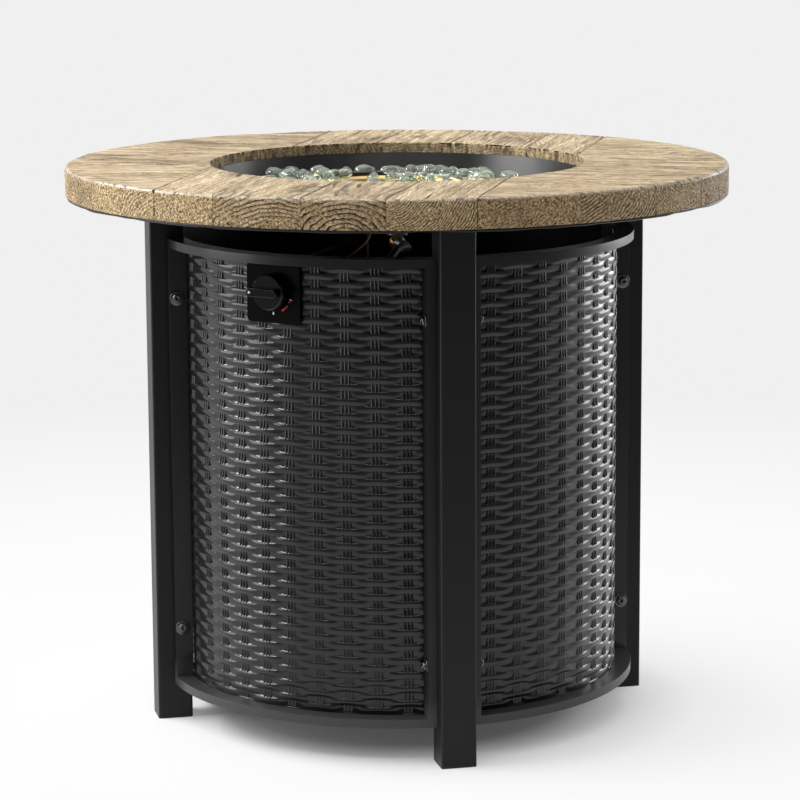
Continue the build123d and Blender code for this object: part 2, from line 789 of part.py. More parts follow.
with BuildPart() as hose_ferrules:
    for end, away in ((outlet_end, Vector(1, 0, 0)), (elbow_end, elbow_way)):
        with Locations(Plane(origin=end, z_dir=away)):
            Cylinder(ferrule_radius, ferrule_length)
            Cylinder(outlet_radius + ferrule_wall, ferrule_length / 2, align=base_down, mode=Mode.SUBTRACT)
            Cylinder(hose_radius + ferrule_wall, ferrule_length / 2, align=base_up, mode=Mode.SUBTRACT)
save(hose_ferrules, "hose_ferrules")

# Leads from the spark pin and the flame sensor to the back of the valve
spark_start = Vector(-pin_spacing / 2, -pin_place_radius, pin_bottom)
spark_end = Vector(-igniter_offset, valve_back, knob_height)
down = Vector(0, 0, -1)
inward = Vector(0, 1, 0)
spark_name = "ignition_lead"
ignition_lead = lead(
    spark_start, down, spark_route, spark_end, inward, lead_run, spark_lead_radius, spark_name
)
save(ignition_lead, spark_name)

sensor_start = Vector(pin_spacing / 2, -pin_place_radius, pin_bottom)
sensor_end = Vector(valve_radius / 2, valve_back, knob_height - valve_radius / 2)
sensor_name = "thermocouple_lead"
thermocouple_lead = lead(
    sensor_start, down, sensor_route, sensor_end, inward, lead_run, sensor_lead_radius, sensor_name
)
save(thermocouple_lead, sensor_name)

# Tank tray: a disc with a collar for the cylinder's foot, and four arms with a tab on each leg
tray_radius = tank_ring_radius + tank_ring_width + tray_margin
arm_length = leg_radius - leg_half
tab_middle = arm_length - tray_thickness / 2
with BuildPart() as tank_tray:
    with BuildSketch(Plane.XY.offset(tray_height)):
        Circle(tray_radius)
        with PolarLocations(arm_length / 2, len(legs), start_angle=panel_half_angle):
            Rectangle(arm_length, tray_tab_width)
    extrude(amount=tray_thickness)
    with BuildSketch(Plane.XY.offset(tray_height + tray_thickness)):
        Circle(tank_ring_radius + tank_ring_width)
        Circle(tank_ring_radius, mode=Mode.SUBTRACT)
    extrude(amount=tank_ring_height)
    with BuildSketch(Plane.XY.offset(tray_height)):
        with PolarLocations(tab_middle, len(legs), start_angle=panel_half_angle):
            Rectangle(tray_thickness, tray_tab_width)
    extrude(amount=tray_tab_height)
    for leg_angle in legs.values():
        hole_middle = turned(leg_angle).from_local_coords(
            Vector(tab_middle, 0, tray_height + tray_tab_height / 2)
        )
        with Locations(Plane(origin=hole_middle, z_dir=turned(leg_angle).x_dir)):
            Cylinder(screw_radius + hole_clearance, 4 * tray_thickness, mode=Mode.SUBTRACT)
save(tank_tray, "tank_tray")

with BuildPart() as tray_screws:
    for leg_angle in legs.values():
        head_seat = turned(leg_angle).from_local_coords(
            Vector(leg_radius - leg_half - tray_thickness, 0, tray_height + tray_tab_height / 2)
        )
        with Locations(Plane(origin=head_seat, z_dir=-turned(leg_angle).x_dir)):
            Cylinder(screw_head_radius, screw_head_height, align=base_up)
            Cylinder(screw_radius, screw_length / 2, align=base_down)
save(tray_screws, "tray_screws")

# Door hinges: lugs with pins on one leg, barrels on the door's upright, and magnets on the other leg
hinge_heights = (panel_bottom + hinge_end_distance, panel_top - hinge_end_distance - barrel_height)
hinge_leg = turned(door_angle + panel_half_angle)
with BuildPart() as hinge_pins:
    for height in hinge_heights:
        lug_length = hinge_offset + lug_margin - leg_half
        with BuildSketch(hinge_leg.offset(height - hinge_gap - lug_height)):
            with Locations((hinge_radius, -leg_half - lug_length / 2)):
                Rectangle(2 * lug_margin, lug_length)
        extrude(amount=lug_height)
        with BuildSketch(hinge_leg.offset(height - hinge_gap)):
            with Locations((hinge_radius, -hinge_offset)):
                Circle(screw_radius)
        extrude(amount=hinge_gap + barrel_height + pin_cap)
save(hinge_pins, "hinge_pins")

with BuildPart() as hinge_barrels:
    for height in hinge_heights:
        web_start = sqrt((rim_radius + hinge_gap) ** 2 - hinge_offset**2)
        with BuildSketch(hinge_leg.offset(height)):
            with Locations((hinge_radius, -hinge_offset)):
                Circle(barrel_radius)
            with Locations(((web_start + hinge_radius) / 2, -hinge_offset)):
                Rectangle(hinge_radius - web_start, barrel_web)
            with Locations((hinge_radius, -hinge_offset)):
                Circle(screw_radius + running_clearance, mode=Mode.SUBTRACT)
        extrude(amount=barrel_height)
save(hinge_barrels, "hinge_barrels")

with BuildPart() as door_magnets:
    for height in (panel_bottom + magnet_end_distance, panel_top - magnet_end_distance):
        with Locations(side_plane(door_angle - panel_half_angle, 1, screw_place, leg_half, height)):
            Cylinder(magnet_radius, door_gap - magnet_gap, align=base_up)
save(door_magnets, "door_magnets")
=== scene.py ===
import math

import bmesh
import bpy
import numpy as np
from mathutils import Matrix, Vector


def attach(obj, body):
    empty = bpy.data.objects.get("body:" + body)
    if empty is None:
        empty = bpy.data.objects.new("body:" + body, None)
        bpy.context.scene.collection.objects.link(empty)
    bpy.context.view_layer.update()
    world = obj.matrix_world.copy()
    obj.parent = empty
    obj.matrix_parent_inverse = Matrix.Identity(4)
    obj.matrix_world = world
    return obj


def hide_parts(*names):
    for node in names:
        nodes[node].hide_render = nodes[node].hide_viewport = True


# A propane fire table, dressed over its CAD solids. Shapes are in millimetres and become metres in
# mesh_piece; materials, lamps and the camera are in metres. The floor is at height zero.
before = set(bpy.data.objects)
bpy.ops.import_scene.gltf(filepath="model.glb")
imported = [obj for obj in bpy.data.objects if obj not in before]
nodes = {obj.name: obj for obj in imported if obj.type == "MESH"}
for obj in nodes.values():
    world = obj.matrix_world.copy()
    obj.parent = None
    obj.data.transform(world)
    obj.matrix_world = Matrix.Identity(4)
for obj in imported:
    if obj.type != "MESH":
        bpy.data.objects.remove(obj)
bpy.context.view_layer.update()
rng = np.random.default_rng(7)
MM = 0.001


# Helpers ------
def link(obj):
    """Put an object in the scene."""
    bpy.context.scene.collection.objects.link(obj)
    return obj


def mesh_piece(name, verts, faces, body, smooth=True, attributes=None):
    """A mesh from millimetre points and faces, riding on a body."""
    mesh = bpy.data.meshes.new(name)
    verts = np.asarray(verts, float) * MM
    mesh.from_pydata(verts.tolist(), [], [tuple(int(i) for i in f) for f in faces])
    mesh.update()
    mesh.polygons.foreach_set("use_smooth", np.full(len(mesh.polygons), smooth))
    for key, values in (attributes or {}).items():
        values = np.asarray(values, np.float32)
        kind = "FLOAT_VECTOR" if values.ndim == 2 else "FLOAT"
        layer = mesh.attributes.new(key, kind, "POINT")
        layer.data.foreach_set("vector" if values.ndim == 2 else "value", values.ravel())
    obj = link(bpy.data.objects.new(name, mesh))
    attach(obj, body)
    return obj


def grid_faces(rows, columns, start=0, wrap=False):
    """Quads over a grid of points stored row by row."""
    out = []
    last = columns if wrap else columns - 1
    for i in range(rows - 1):
        for j in range(last):
            a = start + i * columns + j
            b = start + i * columns + (j + 1) % columns
            out.append((a, b, b + columns, a + columns))
    return out


def moved(faces, start):
    """Faces of a copy whose points begin at another number."""
    return [tuple(i + start for i in face) for face in faces]


HASH_FACTORS = 374761393, 668265263, 974711
HASH_MIXER = 1274126177
HASH_BITS = 0xFFFFFFFF


def hashed(x, y, z, seed):
    """A number from 0 to 1 for a grid point, which looks random and is the same in each run."""
    a, b, c = HASH_FACTORS
    h = (x * a + y * b + z * c + seed * HASH_MIXER) & HASH_BITS
    h = ((h ^ (h >> 13)) * HASH_MIXER) & HASH_BITS
    return ((h ^ (h >> 16)) & 0xFFFF) / 65535.0


def noise(x, y, z=0.0, seed=0):
    """Smooth value noise between 0 and 1."""
    x, y, z = np.broadcast_arrays(np.asarray(x, float), np.asarray(y, float), np.asarray(z, float))
    base = [np.floor(v).astype(np.int64) for v in (x, y, z)]
    part = [v - b for v, b in zip((x, y, z), base)]
    ease = [p * p * (3 - 2 * p) for p in part]
    total = np.zeros_like(x)
    for dx in (0, 1):
        for dy in (0, 1):
            for dz in (0, 1):
                weight = (
                    (ease[0] if dx else 1 - ease[0])
                    * (ease[1] if dy else 1 - ease[1])
                    * (ease[2] if dz else 1 - ease[2])
                )
                total += weight * hashed(base[0] + dx, base[1] + dy, base[2] + dz, seed)
    return total


def past(values, start, width):
    """How far values lie past a start: 0 up to it, 1 from a width beyond it."""
    return np.clip((values - start) / width, 0, 1)


MIX_FACTOR, MIX_A, MIX_B, MIX_RESULT = 0, 6, 7, 2


class Tree:
    """A short way to build a node tree: most calls add a node and give back its output."""

    def __init__(self, owner):
        owner.use_nodes = True
        self.tree = owner.node_tree

    def add(self, kind, inputs=None, **settings):
        node = self.tree.nodes.new(kind)
        for key, value in settings.items():
            setattr(node, key, value)
        for key, value in (inputs or {}).items():
            self.put(node.inputs[key], value)
        return node

    def put(self, socket, value):
        if isinstance(value, bpy.types.NodeSocket):
            self.tree.links.new(value, socket)
        else:
            socket.default_value = value

    def math(self, operation, a, b=0.0, clamp=False):
        return self.add("ShaderNodeMath", {0: a, 1: b}, operation=operation, use_clamp=clamp).outputs[0]

    def plus(self, a, b):
        return self.math("ADD", a, b)

    def minus(self, a, b, clamp=False):
        return self.math("SUBTRACT", a, b, clamp)

    def times(self, a, b, clamp=False):
        return self.math("MULTIPLY", a, b, clamp)

    def power(self, a, b):
        return self.math("POWER", a, b)

    def larger(self, a, b):
        return self.math("MAXIMUM", a, b)

    def mix(self, factor, a, b, blend="MIX"):
        sockets = {MIX_FACTOR: factor, MIX_A: a, MIX_B: b}
        return self.add("ShaderNodeMix", sockets, data_type="RGBA", blend_type=blend).outputs[MIX_RESULT]

    def mix_shader(self, factor, a, b):
        return self.add("ShaderNodeMixShader", {0: factor, 1: a, 2: b}).outputs[0]

    def scaled(self, vector, scale):
        return self.add("ShaderNodeMapping", {"Vector": vector, "Scale": scale}).outputs[0]

    def noise(self, vector, scale, detail=3.0, rough=0.55):
        sockets = {"Vector": vector, "Scale": scale, "Detail": detail, "Roughness": rough}
        return self.add("ShaderNodeTexNoise", sockets).outputs["Fac"]

    def ramp(self, factor, stops):
        node = self.add("ShaderNodeValToRGB", {0: factor})
        elements = node.color_ramp.elements
        while len(elements) < len(stops):
            elements.new(0.5)
        for element, (place, colour) in zip(elements, stops):
            element.position = place
            element.color = colour
        return node.outputs[0]

    def step(self, factor, start, end, low=0.0, high=1.0):
        """One grey up to a start, another from an end on."""
        return self.ramp(factor, [(start, grey(low)), (end, grey(high))])

    def span(self, factor, low, high, start=0.0, end=1.0):
        """A value that runs from start to end, moved to run from low to high."""
        sockets = {"Value": factor, "From Min": start, "From Max": end, "To Min": low, "To Max": high}
        return self.add("ShaderNodeMapRange", sockets).outputs[0]


class Surface(Tree):
    """A node material round one Principled BSDF."""

    def __init__(self, name):
        self.mat = bpy.data.materials.new(name)
        super().__init__(self.mat)
        self.bsdf = self.tree.nodes["Principled BSDF"]
        self.out = self.tree.nodes["Material Output"]

    def set(self, **values):
        """Inputs of the BSDF, with _ for the spaces in their names."""
        for key, value in values.items():
            self.put(self.bsdf.inputs[key.replace("_", " ")], value)

    def attribute(self, name, out="Fac"):
        return self.add("ShaderNodeAttribute", attribute_name=name).outputs[out]

    def coords(self):
        return self.add("ShaderNodeTexCoord").outputs["Object"]

    def bump(self, height, strength, distance):
        node = self.add("ShaderNodeBump", {"Height": height, "Strength": strength, "Distance": distance})
        self.set(Normal=node.outputs[0])


def srgb(r, g, b):
    """A colour written in 0 to 255 steps, as linear light."""
    def one(v):
        v /= 255.0
        return v / 12.92 if v <= 0.04045 else ((v + 0.055) / 1.055) ** 2.4
    return (one(r), one(g), one(b), 1.0)


def grey(value):
    """A grey, in linear light."""
    return (value, value, value, 1.0)


def shaded(colour, times, plus=0.0):
    """A colour made lighter or darker."""
    return tuple(min(1.0, c * times + plus) for c in colour[:3]) + (1.0,)


# Materials: noise scales are changes in a metre, bump depths are metres ------
PEEL_DEPTH, LINE_DEPTH, RUBBER_DEPTH, WOOD_DEPTH, GLASS_DEPTH = 0.0003, 0.0002, 0.0002, 0.0012, 0.001
# Heights in metres where the painted reflection of the floor on low paint is full and where it is gone
REFLECTION_FULL, REFLECTION_GONE = 0.054, 0.075
COAT_ROUGH = 0.12


def painted(name, colour, rough, grain=900.0, spec=0.4, wear=0.02, bump=0.15, coat=0.0, floor_reflection=None):
    """Paint: fine orange peel, uneven gloss, faint dust and, if wanted, a clear coat and a painted reflection
    of the floor low down.
    """
    m = Surface(name)
    place = m.coords()
    fine = m.noise(place, grain, 2.0)
    broad = m.noise(place, 9.0, 4.0)
    dust = m.times(m.minus(broad, 0.5, clamp=True), wear * 8)
    base = m.mix(dust, colour, shaded(colour, 1.0, 0.05))
    if floor_reflection:
        # A painted reflection of the floor: the paint is made lighter low down
        height = m.add("ShaderNodeSeparateXYZ", {0: place}).outputs["Z"]
        base = m.mix(m.span(height, 1.0, 0.0, REFLECTION_FULL, REFLECTION_GONE), base, floor_reflection)
    uneven = m.plus(m.times(fine, 0.3), m.times(broad, 0.7))
    m.set(Base_Color=base, Roughness=m.span(uneven, rough - 0.07, rough + 0.09), Specular_IOR_Level=spec)
    m.set(Coat_Weight=coat, Coat_Roughness=COAT_ROUGH)
    m.bump(fine, bump, PEEL_DEPTH)
    return m.mat


def metal(name, colour, rough, brushed=(60.0, 60.0, 900.0), spun=0.0):
    """Bare or plated metal with fine lines and slight staining, or turning marks round the upright axis."""
    m = Surface(name)
    place = m.coords()
    lines = m.noise(m.scaled(place, brushed), 1.0, 3.0)
    stain = m.noise(place, 40.0, 4.0)
    m.set(Base_Color=m.mix(m.span(stain, 0.0, 0.8), colour, shaded(colour, 0.72)), Metallic=1.0)
    m.set(Roughness=m.span(lines, rough - 0.06, rough + 0.12))
    if spun:
        round_axis = m.add("ShaderNodeTangent", direction_type="RADIAL", axis="Z").outputs[0]
        m.set(Anisotropic=spun, Anisotropic_Rotation=0.25, Tangent=round_axis)
    m.bump(lines, 0.12, LINE_DEPTH)
    return m.mat


def rubbery(name, colour, rough=0.6):
    """Rubber or soft plastic with a fine grain."""
    m = Surface(name)
    place = m.coords()
    grain = m.noise(place, 700.0, 3.0)
    broad = m.noise(place, 25.0, 3.0)
    m.set(Base_Color=m.mix(m.span(broad, 0.0, 0.6), colour, shaded(colour, 1.6, 0.008)))
    m.set(Roughness=m.span(grain, rough - 0.08, rough + 0.1), Specular_IOR_Level=0.35)
    m.bump(grain, 0.2, RUBBER_DEPTH)
    return m.mat


TOP_TONES = [(0.32, srgb(132, 112, 86)), (0.42, srgb(180, 159, 128)),
             (0.51, srgb(232, 211, 174)), (0.64, srgb(255, 242, 210))]
TOP_FLECK, TOP_FIBRE = srgb(122, 100, 73), srgb(120, 98, 71)
TOP_RING, TOP_SEAM = srgb(84, 66, 44), srgb(66, 52, 37)
END_SPECKLED = [(0.38, srgb(52, 38, 23)), (0.46, srgb(140, 114, 77)),
                (0.54, srgb(200, 174, 131)), (0.64, srgb(242, 222, 184))]
END_PLAIN = [(0.36, srgb(64, 48, 29)), (0.45, srgb(156, 129, 90)),
             (0.54, srgb(204, 178, 135)), (0.66, srgb(242, 222, 184))]
END_RIDGE, END_RING = srgb(244, 226, 190), srgb(38, 27, 16)
PLANK_TINTS = [(0.0, srgb(226, 222, 216)), (0.5, srgb(246, 243, 239)), (1.0, srgb(255, 253, 249))]
# Blotch tint, the pale of the painted highlight on the rim, and the darker colour for sunk places
BLOTCH, PAINTED_RIM_HIGHLIGHT, SUNK = srgb(190, 178, 162), srgb(242, 230, 208), srgb(34, 26, 17)


def wood():
    """Weathered plank casting: rings from the planks' own attributes, streaks, flecks, cracks and pores."""
    m = Surface("wood_top")
    ring, ringy = m.attribute("ring"), m.attribute("ringy")
    edge, rim = m.attribute("edge"), m.attribute("rim")
    plank, sunk = m.attribute("plank"), m.attribute("sunk")
    local = m.attribute("local", "Vector")
    place = m.coords()

    def drawn_out(lengthways, sideways, detail, rough=0.55):
        """Noise drawn out along a plank, by how often it changes along and across it."""
        return m.noise(m.scaled(local, (lengthways, sideways, sideways)), 1.0, detail, rough)

    # Each ring ends in a dark line and starts with a pale ridge, both frayed
    fray = m.noise(place, 240.0, 4.0, 0.65)
    saw = m.math("FRACT", m.plus(ring, m.times(m.minus(fray, 0.5), 0.85)))
    late = m.times(m.power(saw, 3.5), m.minus(1.0, m.power(saw, 22.0)))
    ridge = m.times(m.power(m.minus(1.0, saw), 5.0), ringy)
    lines = m.times(late, ringy)
    # The top: tone in long streaks, fibres, flecks and thin dark grain lines
    tone = drawn_out(7.0, 170.0, 8.0, 0.75)
    fibre = drawn_out(26.0, 760.0, 4.0, 0.75)
    fleck = drawn_out(90.0, 520.0, 3.0, 0.7)
    blotch = drawn_out(7.0, 15.0, 4.0, 0.6)
    patch = drawn_out(5.0, 28.0, 2.0)
    flow = drawn_out(3.4, 46.0, 2.0, 0.45)
    thread = m.math("ABSOLUTE", m.minus(m.math("FRACT", m.times(flow, 9.0)), 0.5))
    seam = m.times(m.step(thread, 0.0, 0.07, 1.0, 0.0), m.step(patch, 0.38, 0.52))
    top = m.ramp(tone, TOP_TONES)
    top = m.mix(m.step(fleck, 0.5, 0.62, 0.0, 0.75), top, TOP_FLECK)
    top = m.mix(m.step(fibre, 0.48, 0.6, 0.0, 0.75), top, TOP_FIBRE)
    top = m.mix(m.times(lines, 1.6, clamp=True), top, TOP_RING)
    top = m.mix(m.times(seam, 0.85), top, TOP_SEAM)
    # The edge: end grain, speckled where the rings are faint
    pores = m.noise(place, 400.0, 4.0, 0.75)
    end = m.mix(ringy, m.ramp(pores, END_SPECKLED), m.ramp(pores, END_PLAIN))
    end = m.mix(m.times(ridge, 0.6), end, END_RIDGE)
    end = m.mix(m.times(lines, 2.0, clamp=True), end, END_RING)
    # Both: blotches, a tint for each plank, a painted highlight on the rim and darker colour where the
    # surface is sunk
    both = m.mix(edge, top, end)
    both = m.mix(m.step(blotch, 0.45, 0.8, 0.0, 0.6), both, m.mix(1.0, both, BLOTCH, "MULTIPLY"))
    both = m.mix(1.0, both, m.ramp(plank, PLANK_TINTS), "MULTIPLY")
    # A painted highlight: the rounded rim is mixed towards pale
    both = m.mix(m.times(rim, 0.22), both, PAINTED_RIM_HIGHLIGHT)
    # Darker colour where the surface is sunk: cracks, joints, chips, notches, ring grooves on the rim and the
    # carved lip
    m.set(Base_Color=m.mix(sunk, both, SUNK), Roughness=m.span(fibre, 0.45, 0.75), Specular_IOR_Level=0.3)
    m.set(Coat_Weight=rim, Coat_Roughness=0.25)
    grooves = m.times(m.plus(lines, seam), -0.9)
    grain = m.plus(m.times(fibre, 0.45), m.times(pores, edge))
    m.bump(m.plus(grooves, grain), 0.75, WOOD_DEPTH)
    return m.mat


def glass():
    """Clear glass, slightly green, with an uneven skin."""
    m = Surface("fire_glass")
    place = m.coords()
    tone = m.noise(place, 45.0, 2.0)
    m.set(Base_Color=m.mix(tone, srgb(216, 234, 212), srgb(250, 253, 246)))
    m.set(Transmission_Weight=0.88, IOR=1.47)
    m.set(Roughness=m.span(m.noise(place, 300.0, 2.0), 0.0, 0.08))
    m.bump(m.noise(place, 120.0, 3.0), 0.12, GLASS_DEPTH)
    return m.mat


def printed(name, colour):
    """Printing ink, a little uneven."""
    m = Surface(name)
    fleck = m.noise(m.coords(), 1500.0, 2.0)
    m.set(Base_Color=m.mix(fleck, shaded(colour, 0.8), colour), Roughness=m.span(fleck, 0.4, 0.55))
    return m.mat


mats = {
    "wood": wood(),
    "steel": painted("black_steel", srgb(16, 16, 17), 0.4, spec=0.28, wear=0.004),
    "weave": painted("black_weave", srgb(9, 9, 9), 0.45, grain=500.0, spec=0.15, wear=0.0, bump=0.06,
                     coat=0.7),
    "bowl": metal("bowl_black", grey(0.13), 0.4, (30.0, 30.0, 900.0), spun=0.95),
    # The frames get a painted reflection of the floor, lighter near their feet
    "frame": painted("black_frame", srgb(15, 15, 15), 0.42, spec=0.3, wear=0.004, coat=0.15,
                     floor_reflection=srgb(54, 54, 54)),
    "under": painted("black_lip", srgb(15, 14, 14), 0.4, grain=260.0, spec=0.3, bump=1.0),
    "zinc": metal("zinc_steel", (0.55, 0.55, 0.56, 1), 0.28),
    "dark_zinc": metal("dark_zinc", (0.12, 0.12, 0.122, 1), 0.28),
    "brass": metal("brass", (0.78, 0.56, 0.22, 1), 0.3),
    "copper": metal("copper_lead", (0.66, 0.36, 0.22, 1), 0.35),
    "glass": glass(),
    "plate": painted("control_panel", srgb(4, 4, 4), 0.2, spec=0.1, wear=0.0, bump=0.02),
    "knob": painted("black_plastic", srgb(4, 4, 4), 0.18, grain=700.0, spec=0.3, wear=0.0, bump=0.03),
    "foot": rubbery("foot_plastic", srgb(26, 26, 26), 0.5),
    "rubber": rubbery("rubber", srgb(22, 22, 22)),
    "ceramic": painted("ceramic", srgb(222, 219, 210), 0.3, spec=0.5),
    "white": printed("mark_white", srgb(232, 232, 230)),
    "red": printed("mark_red", srgb(196, 28, 34)),
}


def dress(obj, key):
    """Give an object one material."""
    obj.data.materials.clear()
    obj.data.materials.append(mats[key])


cad_dress = {
    "steel": ["leg_front_left", "leg_front_right", "leg_back_right", "leg_back_left", "top_plates",
              "front_frame", "right_frame", "left_frame", "door_frame", "valve_bracket", "tank_tray",
              "hinge_pins", "hinge_barrels"],
    "weave": ["front_weave", "right_weave", "left_weave", "door_weave"],
    "bowl": ["fire_bowl", "burner_dish"],
    "zinc": ["top_bolts", "bowl_bolts", "tray_screws", "burner_nut", "air_mixer", "hose_ferrules",
             "door_magnets", "valve_stem", "thermocouple"],
    "dark_zinc": ["panel_screws", "panel_washers"],
    "brass": ["burner_ring", "inlet_elbow", "valve_body", "valve_plug"],
    "glass": ["fire_glass_outer", "fire_glass_inner"],
    "plate": ["control_plate"],
    "knob": ["control_knob"],
    "foot": ["foot_caps"],
    "rubber": ["gas_hose", "ignition_lead"],
    "copper": ["thermocouple_lead"],
    "ceramic": ["igniter_electrode"],
    "wood": ["table_top"],
}
for key, names in cad_dress.items():
    for name in names:
        dress(nodes[name], key)

# Rounded edges ------
SAME_POINT = 2e-6
FLAT_ANGLE, ROUND_ANGLE, CREASE_ANGLE = math.radians(0.6), math.radians(40), math.radians(48)


def softened(node, key, width, body, segments):
    """A copy of a CAD node with rounded edges, which stands for it."""
    name = f"{node}_soft"
    bm = bmesh.new()
    bm.from_mesh(nodes[node].data)
    bmesh.ops.remove_doubles(bm, verts=bm.verts, dist=SAME_POINT)
    bmesh.ops.dissolve_limit(bm, angle_limit=FLAT_ANGLE, verts=bm.verts, edges=bm.edges)
    sharp = [e for e in bm.edges if len(e.link_faces) == 2 and e.calc_face_angle(0) > ROUND_ANGLE]
    bmesh.ops.bevel(bm, geom=sharp, offset=width * MM, offset_type="OFFSET", segments=segments,
                    profile=0.5, affect="EDGES", clamp_overlap=True)
    for face in bm.faces:
        face.smooth = True
    for e in bm.edges:
        e.smooth = not (len(e.link_faces) == 2 and e.calc_face_angle(0) > CREASE_ANGLE)
    mesh = bpy.data.meshes.new(name)
    bm.to_mesh(mesh)
    bm.free()
    obj = link(bpy.data.objects.new(name, mesh))
    dress(obj, key)
    normals = obj.modifiers.new("normals", "WEIGHTED_NORMAL")
    normals.keep_sharp = True
    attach(obj, body)
    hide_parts(node)


for panel in ("front", "right", "left"):
    softened(f"{panel}_frame", "frame", 0.9, "table", 2)
softened("door_frame", "frame", 0.9, "door", 2)
softened("control_plate", "plate", 0.5, "table", 2)
softened("control_knob", "knob", 0.8, "knob", 3)
softened("tank_tray", "steel", 0.4, "table", 1)
softened("burner_dish", "bowl", 0.4, "table", 1)
softened("top_plates", "steel", 0.5, "table", 1)

# Table top ------
TOP_R, OPEN_R, TOP_Z, EDGE_Z = 381.0, 214.0, 640.0, 603.0
TURN = math.radians(20.0)
WOOD_Z = 606.4
RIM = 5.0
# Where the joints lie across the planks: the front and back planks run through between the side ones
FRONT_CUTS = [-194.3, -120.4, -20.6, 68.6, 159.3]
SIDE_CUTS = [-346.0, -280.4, -197.4, -110.1, -10.7, 78.1, 165.0, 247.7, 327.6]
# Growth rings of the planks: where their centre lies across the plank (a share) and above its top, their
# spacing and how clearly they show. The left side of the table has its own list, and the back a plain rule.
FRONT_RINGS = [(-0.7, -64, 3.0, 0.4), (0.73, -52, 4.4, 1.0), (0.52, -38, 4.8, 1.0), (-0.14, 28, 2.6, 0.9)]
RIGHT_RINGS = [(-0.5, 45, 2.7, 0.35), (-0.4, 42, 3.4, 1.0), (0.55, 4, 2.6, 0.9), (0.7, 10, 2.8, 0.6),
               (0.4, -50, 3.2, 0.6), (0.6, -40, 3.4, 0.7), (0.3, -55, 3.0, 0.5), (0.8, -38, 3.4, 0.7)]
LEFT_RINGS = [(0.4, -44, 3.6, 0.7), (0.7, -50, 4.0, 0.6), (0.3, -36, 3.4, 0.8), (0.8, 12, 3.0, 0.6),
              (0.3, -30, 3.0, 0.8), (0.1, -34, 2.8, 0.95), (-0.4, 46, 2.8, 0.95), (1.3, -50, 3.0, 0.6)]
# The grid of a plank: columns close to a joint and between the joints, rows on the top and on the edge
NEAR_JOINT = np.array([0.0, 0.5, 1.0, 1.7])
JOINT_MARGIN, COLUMN_STEP = 2.6, 1.0
TOP_ROWS, EDGE_ROWS = 67, 32
RIM_ANGLES = 20, 40, 60, 78, 90
LIP = [(OPEN_R, TOP_Z - 12.4), (OPEN_R, TOP_Z - 8.0), (OPEN_R, TOP_Z - 4.0), (OPEN_R, TOP_Z - 1.8),
       (OPEN_R + 0.7, TOP_Z - 0.6)]
LIP_JOINT = TOP_Z - 2.6
LIP_EDGE = 0.6
NOWHERE = -1e9
OUTERMOST = 320.0
# Where the flat top begins, out from the opening and from a cross joint, and where a corner of the edge does
OPEN_EASE, JOINT_EASE, CORNER_EASE = 2.2, 1.8, 0.4
# How deep the weather goes (into the rings of the edge by a share of their spacing), how wide joints are and
# how far from them cracks and chips keep
TOP_RING_DEEP, EDGE_RING_SHARE, CRACK_DEEP, CHIP_DEEP, NOTCH_DEEP = 0.45, 0.2, 1.3, 0.8, 1.4
TOP_WARP, EDGE_WARP, CARVE_DEEP, FOOT_SINK = 0.7, 0.6, 1.7, 0.8
TOP_JOINT_WIDE, EDGE_JOINT_WIDE, TOP_JOINT_DEEP, EDGE_JOINT_DEEP = 1.7, 1.0, 2.0, 0.7
CALM_FROM = 3.0


